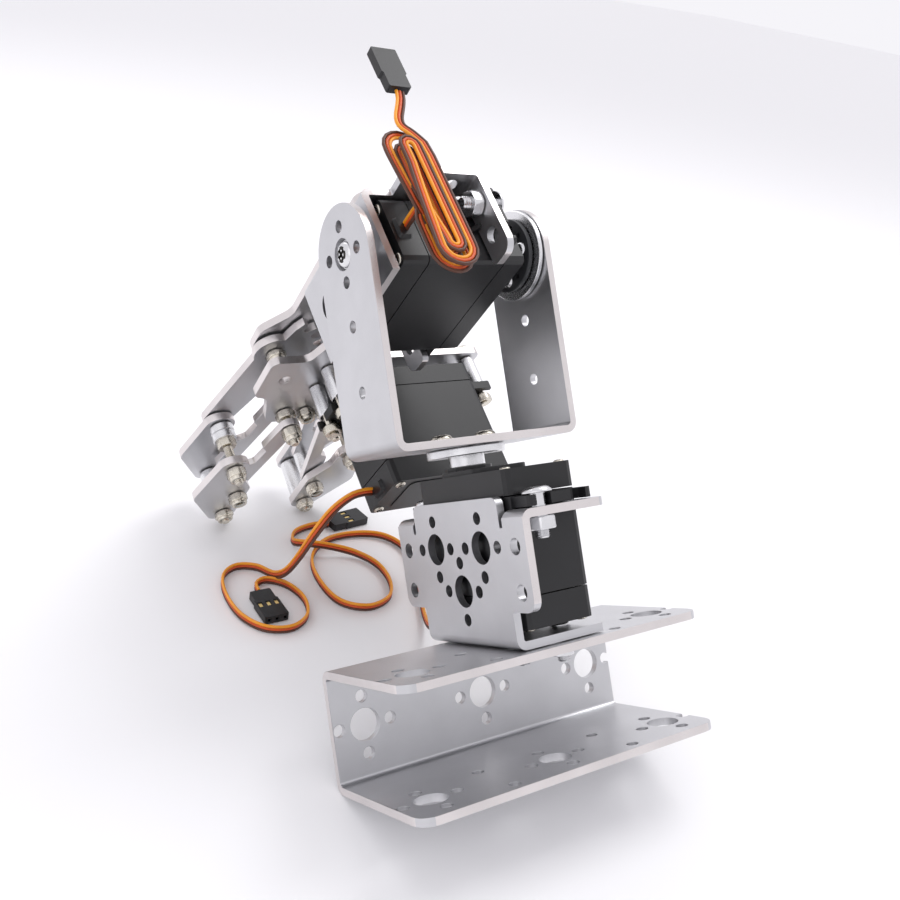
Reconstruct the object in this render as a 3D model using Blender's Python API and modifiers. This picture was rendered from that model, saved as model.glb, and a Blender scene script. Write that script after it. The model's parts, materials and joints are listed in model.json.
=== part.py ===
"""Two-axis servo arm with a geared gripper claw on a channel beam.

The arm is drawn in three local frames: "stand" (the beam lies flat in it), "pan" (the U bracket on
the first servo) and "tilt" (the second servo, the claw plates and the third servo).  The stand frame
is then tipped back, so that the whole arm rests on the beam's rear edge and on the two claw tips.
"""
import math

import bmesh
import bpy
from mathutils import Matrix, Vector

MM = 0.001
GAP = 0.3 * MM            # clearance left between touching pieces
SHEET = 2.0 * MM          # thickness of every bent aluminium sheet

# Pose of the whole arm on its supporting surface.
TIP_BACK = math.radians(33.19)
BOX_CENTRE = (43.25 * MM, 53.4 * MM)
REST_LIFT = -1.157 * MM

# Base beam, a channel with its web at the rear and its mouth to the front.
BEAM_LENGTH = 86.5 * MM
BEAM_DEPTH = 42.0 * MM
BEAM_HEIGHT = 30.0 * MM
BEAM_BEND = 3.0 * MM
HOLE_GROUPS_X = [8.8 * MM, 43.6 * MM, 78.4 * MM]
FLANGE_GROUP_Y = -30.5 * MM
BIG_HOLE = 4.0 * MM
SMALL_HOLE = 1.55 * MM
RING = 7.0 * MM           # radius of the circle of four small holes round each large hole

# Standard servo, measured from the underside of its mounting ears.
BODY_LENGTH = 40.7 * MM
BODY_WIDTH = 19.7 * MM
BODY_BELOW = 28.0 * MM
COVER_HEIGHT = 7.4 * MM
EAR_LENGTH = 54.5 * MM
EAR_THICKNESS = 2.5 * MM
EAR_HOLE_X = 24.75 * MM
CASE_TOP = 9.5 * MM
BOSS_TOP = 11.6 * MM
SPLINE_TOP = 14.6 * MM
SHAFT_OFFSET = 10.2 * MM
SHAFT_RADIUS = 2.9 * MM

# Multi-purpose servo bracket, measured from its ear seats (z) and the servo shaft (x, y).
PLATE_X = -12.9 * MM
BRACKET_DEPTH = 25.0 * MM
BRACKET_HEIGHT = 32.2 * MM
PLATE_CENTRE_Z = -18.6 * MM
BRACKET_WIDTH = 58.0 * MM
FOOT_WIDTH = 40.0 * MM

# Pan stage.
PAN_AXIS = (44.8 * MM, -9.0 * MM)
PAN_ANGLE = math.radians(3.3)
SEAT_Z = BEAM_HEIGHT + GAP + BRACKET_HEIGHT
YOKE_BASE_Z = 79.3 * MM
YOKE_SPAN = 56.6 * MM
YOKE_WIDTH = 25.0 * MM
YOKE_BEND = 3.0 * MM
TILT_Z = 130.0 * MM
YOKE_ARM_HOLES = [16.2 * MM, 32.6 * MM]

# Tilt stage.
TILT_ANGLE = math.radians(24.0)
TILT_SEAT_Z = 9.0 * MM

# Claw, in the tilt frame: x downwards, y forwards along the claw, z along the tilt axis.
CLAW_MIDDLE = -9.0 * MM
CLAW_SHEET = 2.5 * MM
TOP_PLATE_X = -15.7 * MM
ARM_X = -12.6 * MM
UPPER_FINGER_X = -9.7 * MM
UPPER_LINK_X = -6.0 * MM
SERVO_PLATE_X = -3.0 * MM
LOWER_LINK_X = 3.4 * MM
LOWER_FINGER_X = 6.0 * MM
CLAW_SEAT_X = 13.0 * MM
GEAR_Y = 57.5 * MM
GEAR_PITCH = 13.5 * MM
GEAR_TEETH = 18
LINK_PIVOT = (76.0 * MM, 7.0 * MM)
FINGER_PIVOT = (93.0 * MM, 20.5 * MM)
GEAR_PIVOT = (GEAR_Y, GEAR_PITCH)
FAR_PIVOT = (LINK_PIVOT[0] + FINGER_PIVOT[0] - GEAR_Y, LINK_PIVOT[1] + FINGER_PIVOT[1] - GEAR_PITCH)
TIP = (123.5 * MM, 15.0 * MM)
TIP_RADIUS = 4.5 * MM
CLAW_SCREW = 1.45 * MM
CLAW_HOLE = 1.85 * MM

# Servo leads: three-wire ribbons, drawn as one plain tube each.
LEAD_RADIUS = 1.3 * MM
PLUG_SIZE = (14.0 * MM, 7.6 * MM, 2.6 * MM)
# Routes of the leads' middle lines, in millimetres, as they hang and lie when the arm rests.
PAN_LEAD_ROUTE = [(1.6, -31.2, 29.7), (1.6, -28.0, 27.6), (2.4, -23.0, 22.5), (4.5, -16.5, 13.0),
                  (7.5, -9.0, 5.0), (11.0, 0.0, 1.6), (16.0, 12.0, 1.4), (21.5, 26.0, 1.4), (23.5, 37.0, 1.4),
                  (19.5, 45.5, 1.4), (10.0, 49.0, 1.4), (-0.6, 47.6, 1.4), (-8.6, 40.0, 1.4),
                  (-11.9, 29.0, 1.4), (-10.9, 15.6, 1.4), (-3.6, 9.6, 1.4), (5.0, 12.0, 1.4),
                  (9.5, 20.0, 1.4), (10.0, 30.0, 1.4), (5.5, 38.0, 1.8), (-2.5, 41.6, 3.6),
                  (-8.5, 44.0, 4.2), (-11.5, 49.0, 2.4), (-8.0, 55.5, 1.4), (-1.0, 57.8, 1.4), (5.2, 57.2, 1.4)]
CLAW_LEAD_ROUTE = [(-7.0, 11.0, 42.1), (-10.0, 10.9, 42.3), (-14.0, 10.9, 41.5), (-18.5, 12.0, 37.0),
                   (-22.0, 14.5, 28.5), (-24.0, 19.0, 18.0), (-24.6, 25.5, 8.5), (-25.0, 33.0, 2.6),
                   (-28.0, 40.0, 1.4), (-34.0, 42.0, 1.4), (-39.5, 38.0, 1.4), (-42.0, 29.0, 1.4),
                   (-41.5, 18.0, 1.4), (-37.0, 10.0, 1.4), (-29.5, 7.5, 1.4), (-23.0, 11.5, 1.4),
                   (-20.5, 19.5, 1.4), (-22.5, 28.0, 1.4), (-27.5, 32.5, 1.4), (-31.5, 31.0, 1.4),
                   (-32.2, 27.0, 1.4)]
# In the tilt frame: the second servo's lead, its folded hank and its end.
HANK = ((-22.0, -24.8, -20.0), (22.0, -19.2, -8.0))
TILT_TAIL = [(0, -10.5, -15.3), (0, -12.6, -15.4), (0, -14.8, -15.3), (0, -17.0, -15.0), (0, -18.9, -14.8)]
TILT_END = [(-22.3, -22.0, -13.5), (-25.0, -22.1, -12.6), (-28.0, -22.3, -11.2), (-31.0, -22.5, -9.8),
            (-34.0, -22.6, -9.0)]


def clear_scene():
    for item in list(bpy.data.objects):
        bpy.data.objects.remove(item, do_unlink=True)


def collection(name):
    made = bpy.data.collections.new(name)
    bpy.context.scene.collection.children.link(made)
    return made


def material(name, colour, roughness, metallic):
    made = bpy.data.materials.new(name)
    made.use_nodes = True
    shader = made.node_tree.nodes["Principled BSDF"]
    shader.inputs["Base Color"].default_value = (*colour, 1.0)
    shader.inputs["Roughness"].default_value = roughness
    shader.inputs["Metallic"].default_value = metallic
    return made


clear_scene()
PARTS = collection("pan_tilt_claw_arm")
CUTTERS = collection("cutters")
ALUMINIUM = material("satin_aluminium", (0.78, 0.78, 0.79), 0.38, 1.0)
STEEL = material("plated_steel", (0.62, 0.59, 0.52), 0.3, 1.0)
PLASTIC = material("black_plastic", (0.015, 0.015, 0.017), 0.35, 0.0)
LEAD = material("lead_insulation", (0.85, 0.28, 0.03), 0.45, 0.0)


def frame_empty(name, parent, matrix):
    empty = bpy.data.objects.new(name, None)
    PARTS.objects.link(empty)
    empty.parent = parent
    empty.matrix_local = matrix
    return empty


# ---------------------------------------------------------------- outlines


def circle(x, y, radius, count=12):
    turn = 2 * math.pi / count
    phase = 0.2 + 37.0 * x + 61.0 * y
    return [(x + radius * math.cos(phase + i * turn), y + radius * math.sin(phase + i * turn))
            for i in range(count)]


def rounded(corners, steps=3):
    """Outline through corners (x, y, radius), each turned into an arc of that radius."""
    outline = []
    for i, (x, y, radius) in enumerate(corners):
        here = Vector((x, y))
        to_last = (Vector(corners[i - 1][:2]) - here).normalized()
        to_next = (Vector(corners[(i + 1) % len(corners)][:2]) - here).normalized()
        if radius <= 0:
            outline.append((x, y))
            continue
        half = to_last.angle(to_next) / 2
        centre = here + (to_last + to_next).normalized() * (radius / math.sin(half))
        start = here + to_last * (radius / math.tan(half)) - centre
        end = here + to_next * (radius / math.tan(half)) - centre
        sweep = math.atan2(start.x * end.y - start.y * end.x, start.dot(end))
        for k in range(steps + 1):
            spoke = Matrix.Rotation(sweep * k / steps, 2) @ start
            outline.append(tuple(centre + spoke))
    return outline


def stadium(start, end, radius, steps=6):
    """Outline of a bar with round ends between two pivots."""
    along = math.atan2(end[1] - start[1], end[0] - start[0])
    outline = []
    for centre, first in ((end, along - math.pi / 2), (start, along + math.pi / 2)):
        for k in range(steps + 1):
            angle = first + math.pi * k / steps
            outline.append((centre[0] + radius * math.cos(angle), centre[1] + radius * math.sin(angle)))
    return outline


def hole_group(x, y, ring=RING, big=BIG_HOLE, small=SMALL_HOLE):
    """One large hole with four small ones round it."""
    spots = [(ring, 0), (-ring, 0), (0, ring), (0, -ring)]
    return [circle(x, y, big, 12)] + [circle(x + a, y + b, small, 6) for a, b in spots]


# ---------------------------------------------------------------- solids

# How an outline's own x, y and thickness directions lie in the frame that it is drawn in.
LAY = {
    "xy": Matrix(((1, 0, 0), (0, 1, 0), (0, 0, 1))),
    "yz": Matrix(((0, 0, 1), (1, 0, 0), (0, 1, 0))),
    "zx": Matrix(((0, 1, 0), (0, 0, 1), (1, 0, 0))),
}


def place(item, parent, plane="xy", at=(0, 0, 0)):
    item.parent = parent
    item.matrix_local = Matrix.Translation(at) @ LAY[plane].to_4x4()


def sheet(name, parent, plane, loops, span, finish, hidden=False):
    """Flat piece: the first loop is its outline, the others are holes; span is its thickness."""
    curve = bpy.data.curves.new(name, "CURVE")
    curve.dimensions = "2D"
    curve.fill_mode = "BOTH"
    curve.extrude = (span[1] - span[0]) / 2
    for loop in loops:
        spline = curve.splines.new("POLY")
        spline.points.add(len(loop) - 1)
        spline.use_cyclic_u = True
        for point, (x, y) in zip(spline.points, loop):
            point.co = (x, y, 0, 1)
    drawn = bpy.data.objects.new(name + "_outline", curve)
    CUTTERS.objects.link(drawn)
    mesh = bpy.data.meshes.new_from_object(drawn.evaluated_get(bpy.context.evaluated_depsgraph_get()))
    bpy.data.objects.remove(drawn)
    weld(mesh)
    made = bpy.data.objects.new(name, mesh)
    normal = LAY[plane].col[2]
    finish_piece(made, parent, plane, normal * (span[0] + span[1]) / 2, finish, hidden)
    return made


def weld(mesh):
    cage = bmesh.new()
    cage.from_mesh(mesh)
    bmesh.ops.remove_doubles(cage, verts=cage.verts, dist=0.00001)
    bmesh.ops.recalc_face_normals(cage, faces=cage.faces)
    cage.to_mesh(mesh)
    cage.free()


def finish_piece(made, parent, plane, at, finish, hidden):
    place(made, parent, plane, at)
    if hidden:
        CUTTERS.objects.link(made)
        made.hide_render = True
        made.display_type = "WIRE"
        return
    PARTS.objects.link(made)
    made.data.materials.clear()
    made.data.materials.append(finish)


def turned(name, parent, plane, at, profile, finish, steps=12, hidden=False):
    """Turned piece: profile is (radius, height) from its top centre down to its bottom centre."""
    mesh = bpy.data.meshes.new(name)
    ring = profile[0] == profile[-1]
    verts = [(radius, 0, height) for radius, height in (profile[:-1] if ring else profile)]
    edges = [(i, i + 1) for i in range(len(verts) - 1)]
    mesh.from_pydata(verts, edges + ([(len(verts) - 1, 0)] if ring else []), [])
    made = bpy.data.objects.new(name, mesh)
    finish_piece(made, parent, plane, at, finish, hidden)
    screw = made.modifiers.new("turn", "SCREW")
    screw.steps = steps
    screw.render_steps = steps
    screw.use_merge_vertices = True
    screw.merge_threshold = 0.00001
    screw.use_smooth_shade = False
    return made


def rod(radius, low, high):
    return [(0, high), (radius, high), (radius, low), (0, low)]


def block(name, parent, low, high, finish, hidden=False, bevel=0.0):
    mesh = bpy.data.meshes.new(name)
    cage = bmesh.new()
    size = Vector(high) - Vector(low)
    middle = (Vector(high) + Vector(low)) / 2
    bmesh.ops.create_cube(cage, size=1.0, matrix=Matrix.Diagonal((*size, 1)))
    cage.to_mesh(mesh)
    cage.free()
    made = bpy.data.objects.new(name, mesh)
    finish_piece(made, parent, "xy", middle, finish, hidden)
    if bevel:
        soften = made.modifiers.new("edges", "BEVEL")
        soften.width = bevel
        soften.segments = 1
        soften.limit_method = "ANGLE"
    return made


def boolean(target, tools, operation):
    for tool in tools:
        step = target.modifiers.new(tool.name, "BOOLEAN")
        step.object = tool
        step.operation = operation
        step.solver = "EXACT"
        tidy = target.modifiers.new("weld", "WELD")
        tidy.merge_threshold = 0.00001


def bore(name, parent, plane, spots, radius, reach, steps=12):
    """Hidden round cutters at points given in the frame."""
    return [turned(f"{name}_{i}", parent, plane, spot, rod(radius, -reach, reach), None, steps, True)
            for i, spot in enumerate(spots)]


# ---------------------------------------------------------------- fasteners


def bolt(name, parent, plane, at, head_height, grip, shank=1.85 * MM, head=3.6 * MM, nut=3.7 * MM,
         head_thickness=2.2 * MM, nut_thickness=3.0 * MM, tail=2.0 * MM):
    """Bolt with its nut, upright along the plane's normal; grip is the stack that it clamps."""
    top = head_height
    low = top - grip
    profile = [(0, top + head_thickness), (head * 0.7, top + head_thickness), (head, top + 0.8 * MM),
               (head, top), (shank, top), (shank, low), (nut, low), (nut, low - nut_thickness),
               (shank, low - nut_thickness), (shank, low - nut_thickness - tail),
               (0, low - nut_thickness - tail)]
    return turned(name, parent, plane, at, profile, STEEL, 8)


# ---------------------------------------------------------------- base


def base_beam(stand):
    """Channel with rounded bends, holes through its web and both flanges."""
    outer = [(-BEAM_DEPTH, 0, 0), (0, 0, BEAM_BEND), (0, BEAM_HEIGHT, BEAM_BEND), (-BEAM_DEPTH, BEAM_HEIGHT, 0)]
    inner_bend = BEAM_BEND - SHEET
    inner = [(-BEAM_DEPTH, BEAM_HEIGHT - SHEET, 0), (-SHEET, BEAM_HEIGHT - SHEET, inner_bend),
             (-SHEET, SHEET, inner_bend), (-BEAM_DEPTH, SHEET, 0)]
    beam = sheet("base_beam", stand, "yz", [rounded(outer + inner)], (0, BEAM_LENGTH), ALUMINIUM)
    web = [(x, 0, BEAM_HEIGHT / 2) for x in HOLE_GROUPS_X]
    flange = [(x, FLANGE_GROUP_Y, z) for x in HOLE_GROUPS_X for z in (0, BEAM_HEIGHT)]
    small_web = [(x + a, 0, z + b) for x, _, z in web for a, b in ((RING, 0), (-RING, 0), (0, RING), (0, -RING))]
    small_flange = [(x + a, y + b, z) for x, y, z in flange
                    for a, b in ((RING, 0), (-RING, 0), (0, RING), (0, -RING))]
    cutters = bore("web_hole", stand, "zx", web, BIG_HOLE, 4 * MM, 12)
    cutters += bore("web_small_hole", stand, "zx", small_web, SMALL_HOLE, 4 * MM, 6)
    cutters += bore("flange_hole", stand, "xy", flange, BIG_HOLE, 4 * MM, 12)
    cutters += bore("flange_small_hole", stand, "xy", small_flange, SMALL_HOLE, 4 * MM, 6)
    joined_cut(beam, "beam_cutter", stand, cutters)
    return beam


def joined_cut(target, name, parent, cutters):
    """Cut with many separate cutters at once: they are gathered into one mesh first."""
    mesh = bpy.data.meshes.new(name)
    cage = bmesh.new()
    depsgraph = bpy.context.evaluated_depsgraph_get()
    depsgraph.update()
    for cutter in cutters:
        copy = bpy.data.meshes.new_from_object(cutter.evaluated_get(depsgraph))
        copy.transform(cutter.matrix_local)
        cage.from_mesh(copy)
        bpy.data.meshes.remove(copy)
        bpy.data.objects.remove(cutter)
    cage.to_mesh(mesh)
    cage.free()
    gathered = bpy.data.objects.new(name, mesh)
    finish_piece(gathered, parent, "xy", (0, 0, 0), None, True)
    boolean(target, [gathered], "DIFFERENCE")


def servo_bracket(name, parent, side):
    """Bent servo bracket; side is +1 or -1, the way that the servo's body lies from its shaft."""
    middle = side * SHAFT_OFFSET
    foot_z = -BRACKET_HEIGHT
    centre_z = PLATE_CENTRE_Z
    lobe = BRACKET_WIDTH / 2
    half = FOOT_WIDTH / 2
    slit = 19.6 * MM
    under = -1.5 * MM
    skin = 0.02 * MM
    outline = [(middle - half, foot_z + 2 * MM, 0), (middle + half, foot_z + 2 * MM, 0),
               (middle + half, centre_z - 4.5 * MM, 0), (middle + lobe, centre_z - 4.5 * MM, 3 * MM),
               (middle + lobe, under, 0), (middle + slit + 1.2 * MM, under, 0), (middle + slit + 1.2 * MM, -4 * MM, 0),
               (middle + slit, -4 * MM, 0), (middle + slit, 3.4 * MM, 2 * MM),
               (middle - slit, 3.4 * MM, 2 * MM), (middle - slit, -4.03 * MM, 0),
               (middle - slit - 1.2 * MM, -4.03 * MM, 0), (middle - slit - 1.2 * MM, under - skin, 0),
               (middle - lobe, under - skin, 0), (middle - lobe, centre_z - 4.53 * MM, 3 * MM),
               (middle - half, centre_z - 4.53 * MM, 0)]
    holes = []
    for y, z in ((0, 0), (10.5 * MM, 10.5 * MM), (-10.5 * MM, 10.5 * MM)):
        ring = hole_group(middle + y, centre_z + z)
        holes += ring
    holes = unique_holes(holes)
    lobe_holes = [(middle + s * 24.75 * MM, centre_z + dz) for s in (-1, 1) for dz in (0, 10.5 * MM)]
    holes += [circle(y, z, 2.0 * MM, 8) for y, z in lobe_holes]
    plate = sheet(name, parent, "yz", [rounded(outline)] + holes, (PLATE_X, PLATE_X + SHEET), ALUMINIUM)
    back = PLATE_X - skin
    inside = PLATE_X + SHEET + skin
    tip = PLATE_X + BRACKET_DEPTH
    foot_profile = [(tip, foot_z, 0), (tip, foot_z + SHEET, 0), (inside, foot_z + SHEET, 0.6 * MM),
                    (inside, foot_z + 4 * MM, 0), (back, foot_z + 4 * MM, 0), (back, foot_z, 2.6 * MM)]
    foot = bent_flange(name + "_foot", parent, foot_profile, middle - half - skin, middle + half + skin)
    ear_profile = [(tip, 0, 0), (tip, -SHEET, 0), (inside, -SHEET, 0.6 * MM), (inside, -3.6 * MM, 0),
                   (back, -3.6 * MM, 0), (back, 0, 2.6 * MM)]
    ears = []
    for s in (-1, 1):
        reach = sorted((middle + s * (slit + 1.2 * MM + skin), middle + s * (lobe + skin)))
        ears.append(bent_flange(f"{name}_ear_{s}", parent, ear_profile, *reach))
    shaft_hole = bore(name + "_bearing_hole", parent, "xy", [(0, 0, foot_z)], 4.3 * MM, 4 * MM, 12)
    bolt_holes = bore(name + "_foot_hole", parent, "xy",
                      [(x, middle + y, foot_z) for x, y in FOOT_BOLTS], 1.95 * MM, 4 * MM, 8)
    bolt_holes += bore(name + "_ear_hole", parent, "xy", [(PLATE_X + x, middle + s * EAR_HOLE_X, 0)
                                                           for s in (-1, 1) for x in (8 * MM, 18 * MM)],
                       2.2 * MM, 3 * MM, 8)
    boolean(plate, [foot] + ears, "UNION")
    boolean(plate, shaft_hole + bolt_holes, "DIFFERENCE")
    return plate


FOOT_BOLTS = [(5.8 * MM, -11.3 * MM), (-1.2 * MM, -4.3 * MM)]


def unique_holes(loops):
    """Drop small holes that would fall on another hole of the same plate."""
    kept = []
    for loop in loops:
        x = sum(point[0] for point in loop) / len(loop)
        y = sum(point[1] for point in loop) / len(loop)
        size = math.dist(loop[0], (x, y))
        if all(math.dist((x, y), (kx, ky)) > size + ksize + 0.4 * MM for kx, ky, ksize, _ in kept):
            kept.append((x, y, size, loop))
    return [loop for _, _, _, loop in kept]


def bent_flange(name, parent, profile, low, high):
    """Bent edge drawn in the x-z plane and extruded along y, as a hidden solid for a union."""
    return sheet(name, parent, "zx", [[(z, x) for x, z in rounded(profile, 2)]], (low, high), None, True)


def servo(name, parent, side, steel_shaft):
    """Servo in three cases with its output shaft, its ears' undersides at height 0."""
    middle = side * SHAFT_OFFSET
    half_l = BODY_LENGTH / 2
    half_w = BODY_WIDTH / 2
    low = -BODY_BELOW
    split = low + COVER_HEIGHT
    corner = 1.6 * MM

    def body(y_grow=0.0):
        reach = half_l + y_grow
        return rounded([(-half_w, middle - reach, corner), (half_w, middle - reach, corner),
                        (half_w, middle + reach, corner), (-half_w, middle + reach, corner)], 2)

    sheet(name + "_bottom_cover", parent, "xy", [body()], (low, split), PLASTIC)
    case = sheet(name + "_case", parent, "xy", [body()], (split + GAP, 3.0 * MM), PLASTIC)
    ears = []
    for s in (-1, 1):
        near = middle + s * (half_l - 3 * MM)
        far = middle + s * EAR_LENGTH / 2
        slot = middle + s * EAR_HOLE_X
        slot -= s * 2.2 * MM
        slot2, far2 = slot - 0.03 * MM, far - 0.03 * MM
        round_end = 2.15 * MM
        corners = [(-9 * MM, near, 0), (-9 * MM, far, 1 * MM), (-7.2 * MM, far, 0), (-7.2 * MM, slot, round_end),
                   (-2.8 * MM, slot, round_end), (-2.8 * MM, far, 0), (2.8 * MM, far2, 0),
                   (2.8 * MM, slot2, round_end), (7.2 * MM, slot2, round_end),
                   (7.2 * MM, far2, 0), (9 * MM, far2, 1 * MM), (9 * MM, near, 0)]
        ears.append(sheet(f"{name}_ear_{s}", parent, "xy", [rounded(corners, 2)], (GAP, GAP + EAR_THICKNESS),
                          None, True))
    boolean(case, ears, "UNION")
    cover = sheet(name + "_gear_cover", parent, "xy", [body()], (3.0 * MM + GAP, CASE_TOP), PLASTIC)
    boss = turned(name + "_boss", parent, "xy", (0, 0, 0), rod(6.2 * MM, 5 * MM, BOSS_TOP), None, 14, True)
    boolean(cover, [boss], "UNION")
    boolean(cover, bore(name + "_shaft_hole", parent, "xy", [(0, 0, BOSS_TOP)], SHAFT_RADIUS + 0.4 * MM,
                        5 * MM, 12), "DIFFERENCE")
    if steel_shaft:
        profile = rod(SHAFT_RADIUS, BOSS_TOP - 4.5 * MM, SPLINE_TOP)
        turned(name + "_output_shaft", parent, "xy", (0, 0, 0), profile, STEEL, 12)


def foot_bolts(seat, side):
    """Round-head bolts that hold the pan bracket's foot on the beam's upper flange."""
    for i, (x, y) in enumerate(FOOT_BOLTS):
        head = -BRACKET_HEIGHT + SHEET + GAP
        bolt(f"base_bolt_{i + 1}", seat, "xy", (x, side * SHAFT_OFFSET + y, 0), head, 2 * SHEET + 3 * GAP,
             1.25 * MM, 2.8 * MM, 2.9 * MM, 1.5 * MM, 2.4 * MM, 1.5 * MM)


def ear_bolts(name, parent, side):
    middle = side * SHAFT_OFFSET
    for i, s in enumerate((-1, 1)):
        spot = (PLATE_X + 8.0 * MM, middle + s * EAR_HOLE_X, 0)
        grip = SHEET + EAR_THICKNESS + 3 * GAP
        bolt(f"{name}_ear_bolt_{i + 1}", parent, "xy", spot, EAR_THICKNESS + 2 * GAP, grip, 1.6 * MM)


# ---------------------------------------------------------------- pan and tilt


def pan_horn(seat):
    """Metal servo horn: thin flange on a hub that grips the spline."""
    flange_top = YOKE_BASE_Z - SEAT_Z - GAP
    flange = 2.0 * MM
    low = BOSS_TOP + GAP
    profile = [(0, flange_top), (10.3 * MM, flange_top), (10.3 * MM, flange_top - flange),
               (4.6 * MM, flange_top - flange), (4.6 * MM, low), (SHAFT_RADIUS + 0.2 * MM, low),
               (SHAFT_RADIUS + 0.2 * MM, SPLINE_TOP + 0.2 * MM), (0, SPLINE_TOP + 0.2 * MM)]
    horn = turned("pan_horn", seat, "xy", (0, 0, 0), profile, ALUMINIUM, 24)
    spots = [(math.cos(a) * RING, math.sin(a) * RING, flange_top) for a in HORN_SCREW_ANGLES]
    boolean(horn, bore("pan_horn_hole", seat, "xy", spots, 1.75 * MM, 5 * MM, 8), "DIFFERENCE")


HORN_SCREW_ANGLES = [0.0, math.pi]


def u_bracket(pan):
    """Yoke: one strip bent twice, with round arm ends."""
    half = YOKE_SPAN / 2
    low = YOKE_BASE_Z
    top = TILT_Z + YOKE_WIDTH / 2
    bend = YOKE_BEND
    profile = rounded([(-half, low, bend), (half, low, bend), (half, top, 0), (half - SHEET, top, 0),
                       (half - SHEET, low + SHEET, bend - SHEET), (-half + SHEET, low + SHEET, bend - SHEET),
                       (-half + SHEET, top, 0), (-half, top, 0)])
    flat = [(z, x) for x, z in profile]
    flat.reverse()
    half_w = YOKE_WIDTH / 2
    yoke = sheet("u_bracket", pan, "zx", [flat], (-half_w, half_w), ALUMINIUM)
    keep = [(-half_w, low - MM), (half_w, low - MM)]
    keep += [(half_w * math.cos(a), TILT_Z + half_w * math.sin(a))
             for a in [math.pi * k / 16 for k in range(17)]]
    mask = sheet("u_bracket_mask", pan, "yz", [keep], (-half - MM, half + MM), None, True)
    boolean(yoke, [mask], "INTERSECT")
    arms = [(s * (half - SHEET / 2), y, z) for s in (-1, 1) for y, z in ring_spots(0, TILT_Z)]
    arms += [(s * (half - SHEET / 2), 0, low + h) for s in (-1, 1) for h in YOKE_ARM_HOLES]
    cutters = bore("yoke_arm_hole", pan, "yz", arms, SMALL_HOLE, 3 * MM, 6)
    cutters += bore("yoke_idler_hole", pan, "yz", [(-half + SHEET / 2, 0, TILT_Z), (half - SHEET / 2, 0, TILT_Z)],
                    BIG_HOLE, 3 * MM, 12)
    cutters += bore("yoke_base_hole", pan, "xy", [(0, 0, low)], BIG_HOLE, 4 * MM, 12)
    cutters += bore("yoke_base_small_hole", pan, "xy", [(x, y, low) for x, y in ring_spots(0, 0)],
                    1.75 * MM, 4 * MM, 8)
    joined_cut(yoke, "yoke_cutter", pan, cutters)


def ring_spots(x, y):
    return [(x + RING, y), (x - RING, y), (x, y + RING), (x, y - RING)]


def tilt_joint_pieces(pan):
    """What turns with the yoke at the tilt axis: output shaft, horn, horn plate and idler screw."""
    half = YOKE_SPAN / 2
    inner = half - SHEET
    seat = TILT_SEAT_Z
    axis = (0, 0, TILT_Z)
    shaft = rod(SHAFT_RADIUS, seat + GAP + BOSS_TOP - 4.5 * MM, seat + SPLINE_TOP)
    turned("tilt_servo_output_shaft", pan, "yz", axis, shaft, STEEL, 12)
    plate = 1.3 * MM
    plate_low = inner - GAP - plate
    turned("tilt_horn_plate", pan, "yz", axis, rod(12.2 * MM, plate_low, inner - GAP), ALUMINIUM, 28)
    low = seat + GAP + BOSS_TOP + GAP
    flange_top = plate_low - GAP
    profile = [(0, flange_top), (9.9 * MM, flange_top), (9.9 * MM, flange_top - 1.6 * MM),
               (4.4 * MM, flange_top - 1.6 * MM), (4.4 * MM, low), (SHAFT_RADIUS + 0.2 * MM, low),
               (SHAFT_RADIUS + 0.2 * MM, seat + SPLINE_TOP + 0.2 * MM), (0, seat + SPLINE_TOP + 0.2 * MM)]
    turned("tilt_horn", pan, "yz", axis, profile, PLASTIC, 24)
    foot_face = seat - BRACKET_HEIGHT
    head_in = foot_face + SHEET + 0.6 * MM
    profile = [(0, head_in + 1.6 * MM), (3.4 * MM, head_in + 1.6 * MM), (3.4 * MM, head_in), (1.9 * MM, head_in),
               (1.9 * MM, -inner + 0.3 * MM), (3.7 * MM, -inner + 0.3 * MM), (3.7 * MM, -half - 0.4 * MM),
               (0, -half - 0.4 * MM)]
    turned("tilt_idler_screw", pan, "yz", axis, profile, STEEL, 12)


def tilt_bearing(tilt):
    """Flanged idler bearing in the tilt bracket's foot."""
    face = TILT_SEAT_Z - BRACKET_HEIGHT
    flange = 1.0 * MM
    hole = 2.2 * MM
    outer = 4.0 * MM
    profile = [(hole, face + SHEET), (outer, face + SHEET), (outer, face - GAP), (5.2 * MM, face - GAP),
               (5.2 * MM, face - GAP - flange), (hole, face - GAP - flange), (hole, face + SHEET)]
    turned("tilt_bearing", tilt, "xy", (0, 0, 0), profile, STEEL, 16)


# ---------------------------------------------------------------- claw


def claw_z(side, offset):
    return CLAW_MIDDLE + side * offset


def claw_point(side, spot):
    """Outline point (y, z) in the tilt frame of a pivot given as (forwards, sideways)."""
    return (spot[0], claw_z(side, spot[1]))


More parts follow.
